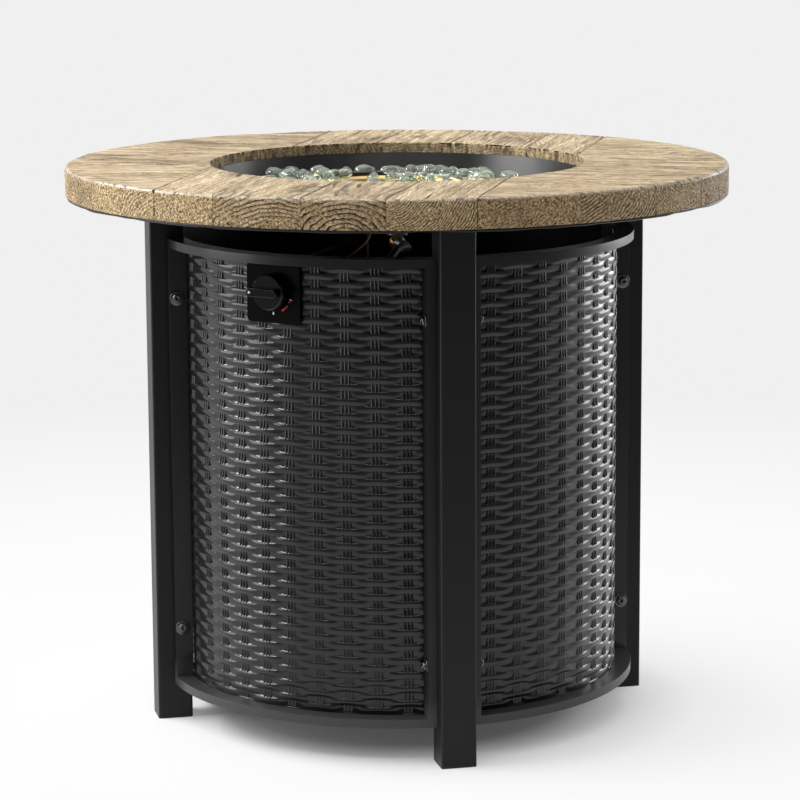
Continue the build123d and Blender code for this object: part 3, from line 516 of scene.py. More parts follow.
class Plank:
    """One plank as a grid of points, in rows from the lip of the opening out to the end-grain edge."""

    def __init__(self, kind, low, high, turned, rings, number):
        self.kind, self.low, self.high, self.turned, self.number = kind, low, high, turned, number
        self.pith_share, self.pith_above, self.spacing, self.clear = rings
        self.lay_out()
        self.grow_rings()
        self.weather()

    def lay_out(self):
        """Length along the plank, height and share of edge (0 on the top, 1 on the edge) of each point."""
        low, high = self.low, self.high
        columns = max(6, int((high - low) / COLUMN_STEP))
        middle = np.linspace(low + JOINT_MARGIN, high - JOINT_MARGIN, columns)
        across = np.concatenate([low + NEAR_JOINT, middle, high - NEAR_JOINT[::-1]])

        def reach(rho):
            """How far along each column a circle round the table's axis lies."""
            return np.sqrt(np.maximum(rho * rho - across * across, 0.0))

        if self.kind == "front":
            joint_line = np.full_like(across, NOWHERE)
        else:
            joint_line = np.where(across < 0, FRONT_CUTS[-1], -FRONT_CUTS[0])
        open_in = np.where(np.abs(across) < OPEN_R, reach(OPEN_R + OPEN_EASE), NOWHERE)
        at_joint = joint_line > open_in
        top_in = np.maximum(open_in, joint_line + JOINT_EASE)
        top_out = np.maximum(reach(TOP_R - RIM), top_in + 0.2)
        corner = joint_line + CORNER_EASE
        rows = []
        for rho, height in LIP:
            on_open = np.maximum(np.where(np.abs(across) < rho, reach(rho), 0.0), joint_line)
            rows.append((np.where(at_joint, joint_line + (rho - OPEN_R), on_open),
                         np.where(at_joint, max(height, LIP_JOINT), height), LIP_EDGE))
        for part in np.linspace(0, 1, TOP_ROWS):
            rows.append((top_in + (top_out - top_in) * part, TOP_Z, 0.0))
        for angle in RIM_ANGLES:
            turn = math.radians(angle)
            out = reach(TOP_R - RIM * (1 - math.sin(turn)))
            rows.append((np.maximum(out, corner if angle > 60 else top_out),
                         TOP_Z - RIM * (1 - math.cos(turn)), angle / 90))
        for height in np.linspace(TOP_Z - RIM - 1.0, WOOD_Z + 0.8, EDGE_ROWS):
            rows.append((np.maximum(reach(TOP_R), corner), height, 1.0))
        rows.append((np.maximum(reach(TOP_R - 0.9), corner), WOOD_Z, 1.0))
        rows.append((np.maximum(reach(TOP_R - 5.0), corner), WOOD_Z - 0.1, 1.0))
        self.length, self.height, self.edge = (
            np.array([np.broadcast_to(row[k], across.shape) for row in rows]) for k in range(3))
        self.across = np.broadcast_to(across, self.length.shape)
        # By the outermost joints the round edge runs steeply along the plank, so each step across counts more
        slant_low, slant_high = (2.4 if abs(cut) > OUTERMOST else 1.0 for cut in (low, high))
        to_joint = np.minimum((across - low) * slant_low, (high - across) * slant_high)
        self.joint = np.broadcast_to(to_joint, self.length.shape)
        self.rim = np.clip(1 - np.abs(self.edge - 0.45) * 2.2, 0, 1)
        self.rim[:len(LIP)] = 0

    def grow_rings(self):
        """Growth rings round a pith that wanders a little along the plank, dark where they sink."""
        across, length, height, number = self.across, self.length, self.height, self.number
        wander = (noise(length / 95.0, number * 3.1, 0.0, 5) - 0.5) * 22.0
        lift = (noise(length / 130.0, number * 7.7, 4.0, 6) - 0.5) * 18.0
        steady = 1 - past(np.hypot(length, across), TOP_R - 60, 50)
        from_pith = across - (self.low + self.pith_share * (self.high - self.low)) - wander * steady
        up_from = height - TOP_Z - self.pith_above - lift * steady
        flat = 0.6 if 0 < self.pith_share < 1 and self.pith_above < 0 else 1.0
        radius = np.hypot(from_pith * flat, up_from)
        radius += (noise(across / 15.0, height / 15.0, length / 60.0, 11) - 0.5) * 5.0
        radius += (noise(across / 5.0, height / 5.0, length / 24.0, 12) - 0.5) * 1.8
        self.ring = radius / self.spacing + number * 0.37
        self.groove = (0.5 + 0.5 * np.cos(2 * math.pi * (self.ring - 0.8))) ** 2
        patch = noise(across / 34.0, length / 70.0, number * 1.9, 13)
        shows = noise(across / 18.0, height / 12.0, number * 2.3, 14)
        self.ringy_top = 0.9 * np.clip((patch - 0.36) * 3.0, 0, 1) * (0.4 + 0.6 * self.clear)
        self.ringy_edge = self.clear * (0.3 + 0.7 * np.clip((shows - 0.2) * 2.2, 0, 1))
        self.ringy = (1 - self.edge) * self.ringy_top + self.edge * self.ringy_edge

    def weather(self):
        """Soft rings sink, long cracks open along the grain, joints fall away, rim and edge chip."""
        across, length, height, number = self.across, self.length, self.height, self.number
        edge, rim, groove = self.edge, self.rim, self.groove
        calm = np.clip(self.joint / CALM_FROM, 0, 1)
        bend = (noise(length / 40.0, number, 2.0, 21) - 0.5) * 2.0
        crack = past(noise(across / 5.5 + bend, length / 85.0, number * 5.3, 22), 0.83, 0.09) * calm
        chips = past(noise(across / 3.1, length / 9.0, height / 3.0, 41), 0.78, 0.15)
        notch = past(noise(across / 4.5, number * 1.3, length / 50.0, 43), 0.72, 0.1) * rim * calm
        joint_wide = TOP_JOINT_WIDE + (EDGE_JOINT_WIDE - TOP_JOINT_WIDE) * edge
        joint_deep = TOP_JOINT_DEEP + (EDGE_JOINT_DEEP - TOP_JOINT_DEEP) * edge
        joint_fall = np.clip(1 - self.joint / joint_wide, 0, 1) ** 1.5
        ring_sink = EDGE_RING_SHARE * self.spacing * groove * self.ringy_edge
        sink_top = TOP_RING_DEEP * groove * self.ringy_top + CRACK_DEEP * crack
        sink_top += TOP_WARP * noise(across / 60.0, length / 90.0, number, 31)
        sink_edge = ring_sink + CHIP_DEEP * chips * calm
        sink_edge += EDGE_WARP * noise(across / 18.0, height / 14.0, number, 33)
        sink = (1 - edge) * sink_top + edge * sink_edge + rim * (ring_sink + NOTCH_DEEP * notch)
        self.sink = sink * (0.35 + 0.65 * calm) + joint_deep * joint_fall
        # The lip of the opening is carved instead
        carve = np.clip(noise(across / 2.6, height / 7.0, number * 2.7, 45) * 1.6 - 0.4, 0, 1)
        self.carve = carve[:len(LIP)]
        sunk = 0.9 * crack * (1 - edge) + (0.7 - 0.35 * edge) * joint_fall + 0.5 * chips * edge * calm
        self.sunk = np.clip(sunk + 0.9 * notch + rim * 0.7 * groove**2 * self.ringy_edge, 0, 1)
        self.sunk[:len(LIP)] = np.clip(self.sunk[:len(LIP)] + 0.75 * self.carve**2, 0, 1)

    def points(self):
        """The weathered points in the frame: the top sinks down, the edge sinks inwards."""
        height, lip = self.height, slice(len(LIP))
        height_out = height - self.sink * np.where(height > WOOD_Z + 1.0, 1 - self.edge, 0)
        pull = np.where(height < WOOD_Z + 0.5, np.minimum(self.sink, FOOT_SINK), self.sink) * self.edge
        pull[lip] = -CARVE_DEEP * self.carve * (height[lip] < TOP_Z - 1.0)
        radial = np.hypot(self.length, self.across)
        factor = (radial - pull) / np.maximum(radial, 1.0)
        if self.kind == "front":
            u, v = self.across * factor, -self.length * factor
        else:
            u, v = self.length * factor, self.across * factor
        if self.turned:
            u, v = -u, -v
        x = u * math.cos(TURN) - v * math.sin(TURN)
        y = u * math.sin(TURN) + v * math.cos(TURN)
        return np.stack([x, y, height_out], -1).reshape(-1, 3)

    def attributes(self):
        """What the wood material reads at each point, with a place along the plank in metres."""
        tint = np.full(self.ring.shape, hashed(self.number, 3, 5, 9))
        values = {"ring": self.ring, "ringy": self.ringy, "edge": self.edge, "rim": self.rim,
                  "sunk": self.sunk, "plank": tint}
        local = np.stack([self.length * MM + self.number * 1.7, self.across * MM + self.number * 0.9,
                          self.height * MM], -1)
        return {key: grid.ravel() for key, grid in values.items()} | {"local": local.reshape(-1, 3)}


def all_planks():
    """The planks of the front and right, then those of the back and left, which are turned half round."""
    number = 0
    for turned, side_rings in ((False, RIGHT_RINGS), (True, LEFT_RINGS)):
        jobs = [("front", *job) for job in zip(FRONT_CUTS, FRONT_CUTS[1:], FRONT_RINGS)]
        jobs += [("side", *job) for job in zip(SIDE_CUTS, SIDE_CUTS[1:], side_rings)]
        for kind, low, high, rings in jobs:
            number += 1
            if turned and kind == "front":
                above, spacing = -50 + 14 * hashed(number, 1, 2, 3), 3.4 + hashed(number, 4, 5, 6)
                rings = (1 - rings[0], above, spacing, 0.7)
            yield Plank(kind, low, high, turned, rings, number)


def face_outwards(mesh):
    """Turn the faces of the top up, those of the lip to the axis and those of the edge away from it."""
    bm = bmesh.new()
    bm.from_mesh(mesh)
    bmesh.ops.recalc_face_normals(bm, faces=bm.faces)
    for face in bm.faces:
        middle = face.calc_center_median() / MM
        away = Vector((middle.x, middle.y, 0))
        outward = Vector((0, 0, 1)) if middle.z > TOP_Z - 3.5 else away
        if away.length < OPEN_R + 2.5 and middle.z < TOP_Z - 1.5:
            outward = -away
        if face.normal.dot(outward) < 0:
            face.normal_flip()
    bm.to_mesh(mesh)
    bm.free()


top_verts, top_faces, top_data, start = [], [], {}, 0
for plank in all_planks():
    points = plank.points()
    top_verts.append(points)
    top_faces += grid_faces(*plank.ring.shape, start)
    for key, values in plank.attributes().items():
        top_data.setdefault(key, []).append(values)
    start += len(points)
top = mesh_piece("plank_top", np.concatenate(top_verts), top_faces, "table",
                 attributes={key: np.concatenate(values) for key, values in top_data.items()})
face_outwards(top.data)
dress(top, "wood")
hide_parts("table_top")

# The dark moulded underside, with an uneven lip under the wood's edge
UNDER_SIDES = 360
UNDER_PROFILE = [(OPEN_R + 0.4, TOP_Z - 12.3), (OPEN_R + 0.6, TOP_Z - 12.5), (328.0, TOP_Z - 12.5),
                 (336.0, EDGE_Z + 0.6), (372.0, EDGE_Z + 0.2), (378.6, EDGE_Z + 0.4), (380.3, EDGE_Z + 1.6),
                 (380.4, WOOD_Z - 0.6), (378.8, WOOD_Z + 0.3), (374.0, WOOD_Z + 0.4)]
UNEVEN_FROM, RAGGED_FROM = 370.0, 378.0
# Waves of the lip: their size, how fine they are, their place in the noise, their level and their seed
LIP_WAVES = [(1.9, 5, 9, 0.4, 51), (1.2, 22, 40, 0.5, 52)]
around_axis = np.arange(UNDER_SIDES) * 2 * math.pi / UNDER_SIDES
cos_axis, sin_axis = np.cos(around_axis), np.sin(around_axis)
wavy = np.zeros(UNDER_SIDES)
for size, fine, place, level, seed in LIP_WAVES:
    wavy += size * (noise(cos_axis * fine + place, sin_axis * fine + place, 0, seed) - level)
under_verts = []
for rho, height in UNDER_PROFILE:
    sway = wavy if rho > UNEVEN_FROM and height < WOOD_Z - 1 else np.zeros_like(wavy)
    out = rho + np.where(rho > RAGGED_FROM, -np.abs(wavy) * 0.6, 0)
    under_verts.append(np.stack([out * cos_axis, out * sin_axis, np.maximum(height + sway, EDGE_Z)], -1))
under = mesh_piece("top_underside", np.concatenate(under_verts),
                   grid_faces(len(UNDER_PROFILE), UNDER_SIDES, wrap=True), "table")
dress(under, "under")

# Woven panels: levels are measured outwards from the sheet's radius ------
WEAVE_R = 252.5
STAKES, ROWS = 10, 62
WEAVE_LOW, WEAVE_HIGH, SHEET_LOW, SHEET_HIGH = 52.2, 551.8, 44.2, 559.8
WEAVE_ANGLE, SHEET_ANGLE = 38.1, 40.1
BACK_LEVEL, BORDER_LEVEL, SHEET_COLUMNS = -1.9, -0.75, 49
# A strand: its step out over a stake, its roundness, how square it is, how far its crown leans up where it
# passes over, and how much wider it is there
SWAY, CROWN, SQUARE, LEAN, OVER_WIDER = 1.1, 0.6, 3.0, 0.45, 0.03
DRIFT = 0.12
STRAND_COLUMNS = 10
STRAND_SHARES = np.array([-1.0, -0.88, -0.7, -0.5, -0.25, 0.0, 0.25, 0.5, 0.7, 0.88, 1.0])[:, None]
# A stake: three round ribs, with the levels of the gaps between them and of the ground at their sides
RIB_HALF, RIB_STEP, RIB_HIGH, GAP_LEVEL, GROUND, GROUND_LEVEL = 1.2, 4.1, 0.8, -1.2, 0.5, -1.6
# Along two rows, the share and the level at which ribs come out over a strand and go under the next one
RIB_FOOT, RIB_HEAD = (0.18, 1.5), (0.87, 0.4)
RIB_SHARES = np.array([0.02, 0.12, 0.18, 0.24, 0.4, 0.6, 0.8, 0.87])
KNOB_Z, STEM_HOLE = 520.5, 9.0


def stake_section():
    """Places across a stake and the levels there, below the top of its ribs."""
    shoulder, dip = RIB_HALF * 0.7, -RIB_HIGH * 0.3
    half = [(0.0, 0.0), (shoulder, dip), (RIB_HALF, -RIB_HIGH), (RIB_STEP / 2, GAP_LEVEL),
            (RIB_STEP - RIB_HALF, -RIB_HIGH), (RIB_STEP - shoulder, dip), (RIB_STEP, 0.0),
            (RIB_STEP + shoulder, dip), (RIB_STEP + RIB_HALF, -RIB_HIGH),
            (RIB_STEP + RIB_HALF + GROUND, GROUND_LEVEL)]
    whole = [(-place, level) for place, level in half[:0:-1]] + half
    return np.array(whole).T


def weave_panel(name, node, angle, body, gap=0.0, hole=False):
    """Strands that pass over and under upright stakes of three ribs, pressed into one sheet."""
    less = math.degrees(gap / WEAVE_R)
    half = WEAVE_ANGLE - less
    spacing = 2 * half / STAKES
    pitch = (WEAVE_HIGH - WEAVE_LOW) / ROWS
    verts, faces, start = [], [], 0

    def add(turn, level, height):
        """Rows of points at angles and levels, with quads between them."""
        nonlocal start
        turn, level, height = np.broadcast_arrays(np.radians(turn + angle), WEAVE_R + level, height)
        verts.append(np.stack([level * np.cos(turn), level * np.sin(turn), height], -1).reshape(-1, 3))
        faces.extend(grid_faces(*turn.shape, start))
        start += turn.size

    turn = np.linspace(-half, half, STAKES * STRAND_COLUMNS + 1)
    cell = (turn + half) / spacing - 0.5
    share = STRAND_SHARES
    for j in range(ROWS):
        swing = np.cos(math.pi * (cell + j))
        drift = DRIFT * (noise(cell * 1.3, j * 1.7, angle, 61) - 0.5)
        lean = share - LEAN * swing * (1 - share**2)
        level = SWAY * swing * (1 - np.abs(lean) ** SQUARE) + CROWN * (1 - share**2) + drift
        add(turn, level, WEAVE_LOW + pitch * (j + 0.5 + share * (0.5 + OVER_WIDER * swing)))
    across, ribs = stake_section()
    for i in range(STAKES):
        first = i % 2 + 0.5
        rows = (np.arange(-2, ROWS, 2)[:, None] + first + 2 * RIB_SHARES).reshape(-1, 1)
        rows = rows[(rows > 0) & (rows < ROWS)][:, None]
        swell = np.interp((rows - first) / 2 % 1, *zip(RIB_FOOT, RIB_HEAD), period=1)
        level = np.maximum(ribs + swell, BACK_LEVEL + 0.2)
        add(-half + (i + 0.5) * spacing + np.degrees(across / WEAVE_R), level, WEAVE_LOW + pitch * rows)
    sheet = np.linspace(less - SHEET_ANGLE, SHEET_ANGLE - less, SHEET_COLUMNS)
    add(sheet, BORDER_LEVEL, np.array([[SHEET_LOW], [WEAVE_LOW - 0.2]]))
    add(sheet, BORDER_LEVEL, np.array([[WEAVE_HIGH + 0.2], [SHEET_HIGH]]))
    add(sheet, BACK_LEVEL, np.array([[WEAVE_LOW], [WEAVE_HIGH]]))
    add(sheet[::-1], BACK_LEVEL - 0.1, np.array([[SHEET_LOW], [SHEET_HIGH]]))
    points = np.concatenate(verts)
    if hole:
        clear = (np.hypot(points[:, 0], points[:, 2] - KNOB_Z) < STEM_HOLE) & (points[:, 1] < 0)
        faces = [f for f in faces if not any(clear[list(f)])]
    obj = mesh_piece(name, points, faces, body)
    dress(obj, "weave")
    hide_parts(node)


weave_panel("front_weave_strands", "front_weave", -90.0, "table", hole=True)
weave_panel("right_weave_strands", "right_weave", 0.0, "table")
weave_panel("left_weave_strands", "left_weave", 180.0, "table")
weave_panel("door_weave_strands", "door_weave", 90.0, "door", gap=1.5)

# Screws and washers of the panels ------
SCREW_OUTLINE = [(3.0, -12.0), (3.0, 0.0), (5.4, 0.0), (5.5, 0.9), (5.2, 1.9), (4.4, 2.7), (3.4, 3.1)]
SCREW_SIDES, WASHER_SIDES = 24, 40
CROSS_TOP, CROSS_FLOOR, CROSS_TIP = 3.2, 1.4, 1.1
CROSS_REACH, CROSS_CORE, CROSS_ARM = 2.6, 0.95, 0.28
WASHER_OUTLINE = [(3.2, 0), (8.2, 0), (8.5, 0.3), (8.5, 1.2), (8.1, 1.5), (3.3, 1.5)]
SCREW_R, SCREW_HEIGHTS = 263.0, (110.0, 494.0)
WASHER_SEAT, SCREW_SEAT = 30.0, 31.5


def round_stack(profile, sides):
    """Points and faces of a turned shape, along its own axis."""
    turn = np.arange(sides) * 2 * math.pi / sides
    rings = [np.stack([r * np.cos(turn), r * np.sin(turn), np.full(sides, h)], -1) for r, h in profile]
    return np.concatenate(rings), grid_faces(len(profile), sides, wrap=True)


def cross_head():
    """A pan head with a cross recess."""
    sides = SCREW_SIDES
    verts, faces = round_stack(SCREW_OUTLINE, sides)
    cross = []
    for turn in np.arange(sides) * 2 * math.pi / sides:
        c, s = math.cos(turn), math.sin(turn)
        reach = CROSS_REACH if min(abs(c), abs(s)) < CROSS_ARM else CROSS_CORE
        cross.append((reach * c, reach * s))
    recess = [(x, y, level) for level in (CROSS_TOP, CROSS_FLOOR) for x, y in cross] + [(0, 0, CROSS_TIP)]
    rim, mouth = len(verts) - sides, len(verts)
    floor, tip = mouth + sides, mouth + 2 * sides
    for k in range(sides):
        n = (k + 1) % sides
        faces.append((rim + k, rim + n, mouth + n, mouth + k))
        faces.append((mouth + k, mouth + n, floor + n, floor + k))
        faces.append((floor + k, floor + n, tip))
    return np.concatenate([verts, np.array(recess)]), faces


def scattered(name, shape, places, node):
    """Copies of a shape, each with its foot, its axis and a turn about it, which stand for a node."""
    verts, faces, start = [], [], 0
    base, base_faces = shape
    for origin, axis, spin in places:
        z = Vector(axis).normalized()
        x = z.orthogonal().normalized()
        x.rotate(Matrix.Rotation(spin, 3, z))
        verts.append(base @ np.array([x, z.cross(x), z]) + np.array(origin))
        faces += moved(base_faces, start)
        start += len(base)
    obj = mesh_piece(name, np.concatenate(verts), faces, "table")
    dress(obj, "dark_zinc")
    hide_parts(node)


screw_places, washer_places = [], []
for panel in (-90, 0, 180):
    for side in (1, -1):
        leg = math.radians(panel - side * 45)
        out = np.array([math.cos(leg), math.sin(leg), 0])
        to_panel = np.array([-math.sin(leg), math.cos(leg), 0]) * side
        for height in SCREW_HEIGHTS:
            base = out * SCREW_R + np.array([0, 0, height])
            screw_places.append((base + to_panel * SCREW_SEAT, to_panel, rng.uniform(0, 1.5)))
            washer_places.append((base + to_panel * WASHER_SEAT, to_panel, 0.0))
scattered("panel_screw_heads", cross_head(), screw_places, "panel_screws")
scattered("panel_washer_rings", round_stack(WASHER_OUTLINE, WASHER_SIDES), washer_places, "panel_washers")

# Glass pebbles ------
# Inner and outer radius of the bed round the dish, of the bed in it and of the heap on the burner ring
OUTER_BED, INNER_BED, RING_HEAP = (121, 204), (15, 89), (82, 117)
LUMP_LEAST, LUMP_MORE, LUMP_FINE = 0.78, 0.44, 1.4
PEBBLE_WIDTHS, PEBBLE_HEIGHTS, PEBBLE_TILT = (0.72, 1.0), (0.55, 0.8), 0.5
GOLDEN_ANGLE = math.pi * (3 - math.sqrt(5))
JITTER = 2.5
PIN_X, PIN_Y, PIN_CLEAR, TUBE_CLEAR = 11.0, -74.0, 14.0, 15.0
RING_SHOWS = 130, 155


def pebble_mesh(name, node, places):
    """Lumpy, flattened and tilted pebbles, each at a place with a size, which stand for a node."""
    source = bmesh.new()
    bmesh.ops.create_icosphere(source, subdivisions=2, radius=1.0)
    unit = np.array([v.co for v in source.verts])
    unit_faces = [tuple(v.index for v in f.verts) for f in source.faces]
    source.free()
    verts, faces, start = [], [], 0
    for k, (x, y, z, size) in enumerate(places):
        lump_x, lump_y, lump_z = unit.T * LUMP_FINE
        lumps = LUMP_LEAST + LUMP_MORE * noise(lump_x + k * 3.3, lump_y + k, lump_z, 71)
        flat = np.array([1.0, rng.uniform(*PEBBLE_WIDTHS), rng.uniform(*PEBBLE_HEIGHTS)])
        shape = unit * lumps[:, None] * size * flat
        turn = Matrix.Rotation(rng.uniform(0, 6.28), 3, "Z")
        tilt = Matrix.Rotation(rng.uniform(-PEBBLE_TILT, PEBBLE_TILT), 3, "X")
        verts.append(shape @ np.array(turn @ tilt).T + np.array([x, y, z]))
        faces += moved(unit_faces, start)
        start += len(unit)
    obj = mesh_piece(name, np.concatenate(verts), faces, "table")
    dress(obj, "glass")
    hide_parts(node)


def anywhere(x, y):
    """No place is left free."""
    return True


def clear_of_pins(x, y):
    """Off the burner's feed tube and off the spark pin and the flame sensor."""
    return abs(y) > TUBE_CLEAR and math.hypot(abs(x) - PIN_X, y - PIN_Y) > PIN_CLEAR


def off_the_gap(x, y):
    """Off the stretch of the burner ring that stays bare."""
    return not RING_SHOWS[0] < math.degrees(math.atan2(y, x)) < RING_SHOWS[1]


def spread(bed, spacing, heights, sizes, seed, keep=anywhere):
    """Places and sizes of pebbles, evenly over a bed, between two heights."""
    local = np.random.default_rng(seed)
    inner, outer = bed
    first, last = (int(math.pi * rho**2 / spacing**2) for rho in bed)
    out = []
    for k in range(first, last):
        rho = spacing * math.sqrt((k + 0.5) / math.pi)
        x = rho * math.cos(k * GOLDEN_ANGLE) + local.uniform(-JITTER, JITTER)
        y = rho * math.sin(k * GOLDEN_ANGLE) + local.uniform(-JITTER, JITTER)
        size = local.uniform(*sizes)
        if inner + size < math.hypot(x, y) < outer - size and keep(x, y):
            out.append((x, y, local.uniform(*heights), size))
    return out


outer_low = spread(OUTER_BED, 20.0, (594, 598), (9.0, 11.0), 3)
outer_high = spread(OUTER_BED, 31.0, (603, 613), (10.5, 15.0), 5)
pebble_mesh("pebbles_outer", "fire_glass_outer", outer_low + outer_high)
inner_low = spread(INNER_BED, 17.0, (602, 604), (7.0, 8.0), 7, clear_of_pins)
inner_high = spread(INNER_BED, 27.0, (608, 614), (8.5, 11.5), 9, clear_of_pins)
over_ring = spread(RING_HEAP, 14.5, (616, 619), (8.0, 10.5), 11, off_the_gap)
pebble_mesh("pebbles_inner", "fire_glass_inner", inner_low + inner_high + over_ring)

# Marks on the control plate and the knob ------
PLATE_Y, KNOB_FACE, INK = -255.1, -276.2, 0.12
# Angles in degrees and radii round the knob: the arc narrows from one pair of radii to the other
FLAME_ANGLES, FLAME_WIDE, FLAME_NARROW = (-62, -38), (22.6, 24.9), (23.5, 24.4)
LOW_DOT, LOW_DOT_R, TICK = (-27, 23.8), 0.95, (23.0, 26.0)
KNOB_DOT_X, KNOB_DOT_R = -17.6, 1.5


def flat_mark(name, outline, level, key, body):
    """A thin printed shape in the plane of the control plate, from points across and up."""
    front = [(x, level - INK, z) for x, z in outline]
    back = [(x, level, z) for x, z in outline]
    n = len(outline)
    faces = [tuple(range(n))] + [(i, i + n, (i + 1) % n + n, (i + 1) % n) for i in range(n)]
    obj = mesh_piece(name, front + back, faces, body, smooth=False)
    dress(obj, key)


def on_dial(angle, radius):
    """A point at an angle in degrees round the knob's axis."""
    turn = math.radians(angle)
    return (math.cos(turn) * radius, math.sin(turn) * radius + KNOB_Z)


def arc_band(low, high, radii_low, radii_high, steps=16):
    """A band round the knob's axis that goes from one pair of radii to the other."""
    turn = np.linspace(low, high, steps)
    inner, outer = ([on_dial(t, r) for t, r in zip(turn, np.linspace(r_low, r_high, steps))]
                    for r_low, r_high in zip(radii_low, radii_high))
    return outer + inner[::-1]


def disc(x, z, radius, sides=20):
    """A round spot."""
    turn = [2 * math.pi * k / sides for k in range(sides)]
    return [(x + radius * math.cos(t), z + radius * math.sin(t)) for t in turn]


flame_arc = arc_band(*FLAME_ANGLES, FLAME_WIDE, FLAME_NARROW)
flat_mark("mark_flame_arc", flame_arc, PLATE_Y, "red", "table")
flat_mark("mark_low_dot", disc(*on_dial(*LOW_DOT), LOW_DOT_R), PLATE_Y, "red", "table")
for label, angle, half_angle in (("high", -90, 1.9), ("low", -20, 1.2), ("off", 180, 1.5)):
    tick = arc_band(angle - half_angle, angle + half_angle, TICK, TICK, 5)
    flat_mark(f"mark_{label}", tick, PLATE_Y, "white", "table")
flat_mark("knob_dot", disc(KNOB_DOT_X, KNOB_Z, KNOB_DOT_R), KNOB_FACE, "white", "knob")

# Camera, fitted to the photo: its bearing, distance and height, then where it looks ------
scene = bpy.context.scene
scene.view_settings.view_transform = "Standard"

AZ, DIST, EYE = math.radians(32.1028), 3.558486, 1.01138
AIM = AZ + math.radians(-0.0343)
PITCH, ROLL = math.radians(10.3826), math.radians(-0.3234)
FOCAL_PIXELS, PICTURE_PIXELS, SENSOR = 3098.097, 800, 36.0
eye = Vector((math.sin(AZ) * DIST, -math.cos(AZ) * DIST, EYE))
look = Vector((-math.sin(AIM) * math.cos(PITCH), math.cos(AIM) * math.cos(PITCH), -math.sin(PITCH)))
level_right = Vector((math.cos(AIM), math.sin(AIM), 0))
level_up = level_right.cross(look)
right = level_right * math.cos(ROLL) + level_up * math.sin(ROLL)
up = -level_right * math.sin(ROLL) + level_up * math.cos(ROLL)
camera_data = bpy.data.cameras.new("camera")
camera_data.sensor_width = SENSOR
camera_data.lens = FOCAL_PIXELS / PICTURE_PIXELS * SENSOR
camera_data.clip_end = 100.0
camera = link(bpy.data.objects.new("camera", camera_data))
camera.matrix_world = Matrix(((right.x, up.x, -look.x, eye.x), (right.y, up.y, -look.y, eye.y),
                              (right.z, up.z, -look.z, eye.z), (0, 0, 0, 1)))
scene.camera = camera

# A pale floor: the eye sees it brighten away from the object's shadow and fade into the surroundings.
# Nearness is 1 under the table and 0 at the reach.
FLOOR_HALF, FLOOR_REACH = 14.0, 5.0
GLOW = 0.96
GLOW_STOPS = [(0.84, grey(0.95)), (0.9, grey(0.88)), (0.93, grey(0.72)), (0.96, grey(0.05))]
CLEAR_UNTIL, SOLID_FROM = 0.6, 0.82
corners = [(x * FLOOR_HALF, y * FLOOR_HALF, 0) for x, y in ((-1, -1), (1, -1), (1, 1), (-1, 1))]
floor_mesh = bpy.data.meshes.new("floor")
floor_mesh.from_pydata(corners, [], [(0, 1, 2, 3)])
floor = link(bpy.data.objects.new("floor", floor_mesh))
fm = Surface("floor")
place = fm.coords()
in_reach = fm.scaled(place, (1 / FLOOR_REACH,) * 3)
nearness = fm.add("ShaderNodeTexGradient", {0: in_reach}, gradient_type="SPHERICAL").outputs[1]
fm.set(Base_Color=fm.mix(fm.noise(place, 30.0, 3.0), grey(0.86), grey(0.88)))
fm.set(Roughness=0.75, Specular_IOR_Level=0.1)
glow = fm.add("ShaderNodeEmission", {"Color": grey(1.0), "Strength": GLOW})
ray = fm.add("ShaderNodeLightPath").outputs
seen = fm.larger(ray["Is Camera Ray"], fm.larger(ray["Is Glossy Ray"], ray["Is Transmission Ray"]))
lit = fm.mix_shader(fm.times(fm.ramp(nearness, GLOW_STOPS), seen), fm.bsdf.outputs[0], glow.outputs[0])
clear = fm.add("ShaderNodeBsdfTransparent").outputs[0]
fm.put(fm.out.inputs[0], fm.mix_shader(fm.step(nearness, CLEAR_UNTIL, SOLID_FROM), clear, lit))
floor.data.materials.append(fm.mat)

# The eye, metal and glass see a pale backdrop; behind the camera, metal and glass see a dimmer room
AMBIENT, BACKDROP, ROOM = 0.28, 0.87, 0.2
ROOM_TURN = AZ + math.radians(10)
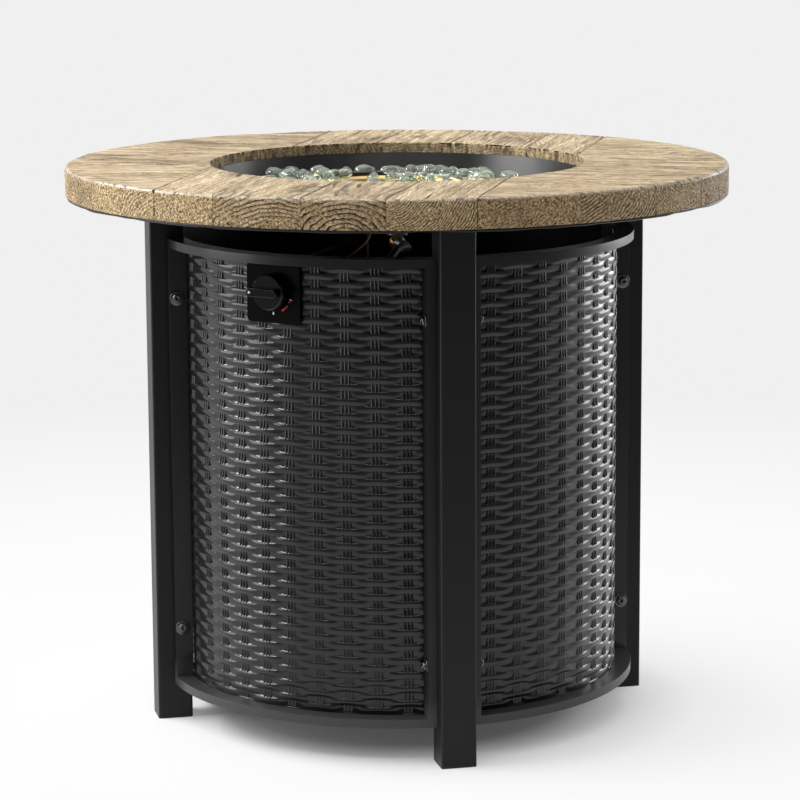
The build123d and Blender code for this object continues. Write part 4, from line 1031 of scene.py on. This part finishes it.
# The room fades in from a little past square to the camera, and from a little below level
FRONT_START, FRONT_RISE, LEVEL_START, LEVEL_RISE = 0.15, 2.5, 0.4, 5.0
world = bpy.data.worlds.new("studio")
scene.world = world
wt = Tree(world)
path = wt.add("ShaderNodeLightPath").outputs
heading = wt.add("ShaderNodeTexCoord").outputs["Generated"]
to_room = (math.sin(ROOM_TURN), -math.cos(ROOM_TURN), 0)
facing = wt.add("ShaderNodeVectorMath", {0: heading, 1: to_room}, operation="DOT_PRODUCT").outputs["Value"]
upwards = wt.add("ShaderNodeSeparateXYZ", {0: heading}).outputs["Z"]
in_front = wt.times(wt.plus(facing, FRONT_START), FRONT_RISE, clamp=True)
not_low = wt.times(wt.plus(upwards, LEVEL_START), LEVEL_RISE, clamp=True)
in_room = wt.times(in_front, not_low)
mirrored = wt.minus(BACKDROP - AMBIENT, wt.times(in_room, BACKDROP - ROOM))
by_glossy = wt.times(wt.larger(path["Is Glossy Ray"], path["Is Transmission Ray"]), mirrored)
by_eye = wt.times(path["Is Camera Ray"], BACKDROP - AMBIENT)
sky = wt.tree.nodes["Background"]
wt.put(sky.inputs["Color"], grey(1.0))
wt.put(sky.inputs["Strength"], wt.plus(wt.plus(by_eye, by_glossy), AMBIENT))


def area(name, place, target, size, power):
    """A rectangular lamp: its place, where it points, its size and its power in watts."""
    data = bpy.data.lights.new(name, "AREA")
    data.shape = "RECTANGLE"
    data.size, data.size_y = size
    data.energy = power
    obj = link(bpy.data.objects.new(name, data))
    obj.location = place
    obj.rotation_euler = (Vector(target) - Vector(place)).to_track_quat("-Z", "Y").to_euler()


def around(sideways, nearer, height):
    """A place given by what the camera sees: to its right, towards it, and up."""
    spot = level_right * sideways - Vector((look.x, look.y, 0)).normalized() * nearer
    return (spot.x, spot.y, height)


area("key", around(-5.0, -0.8, 4.3), (0, 0, 0.45), (6.4, 1.1), 470)
area("left_panel", around(-3.6, 0.3, 0.95), (0, 0, 0.4), (2.0, 1.8), 48)
area("overhead", around(0.0, -0.3, 6.4), (0, 0, 0.5), (5.0, 5.0), 140)
area("front_strip", around(-0.6, 3.3, 4.6), (0, 0, 0.4), (5.2, 0.35), 62)
area("right_panel", around(3.3, -2.6, 1.0), (0, 0, 0.4), (2.6, 2.0), 78)
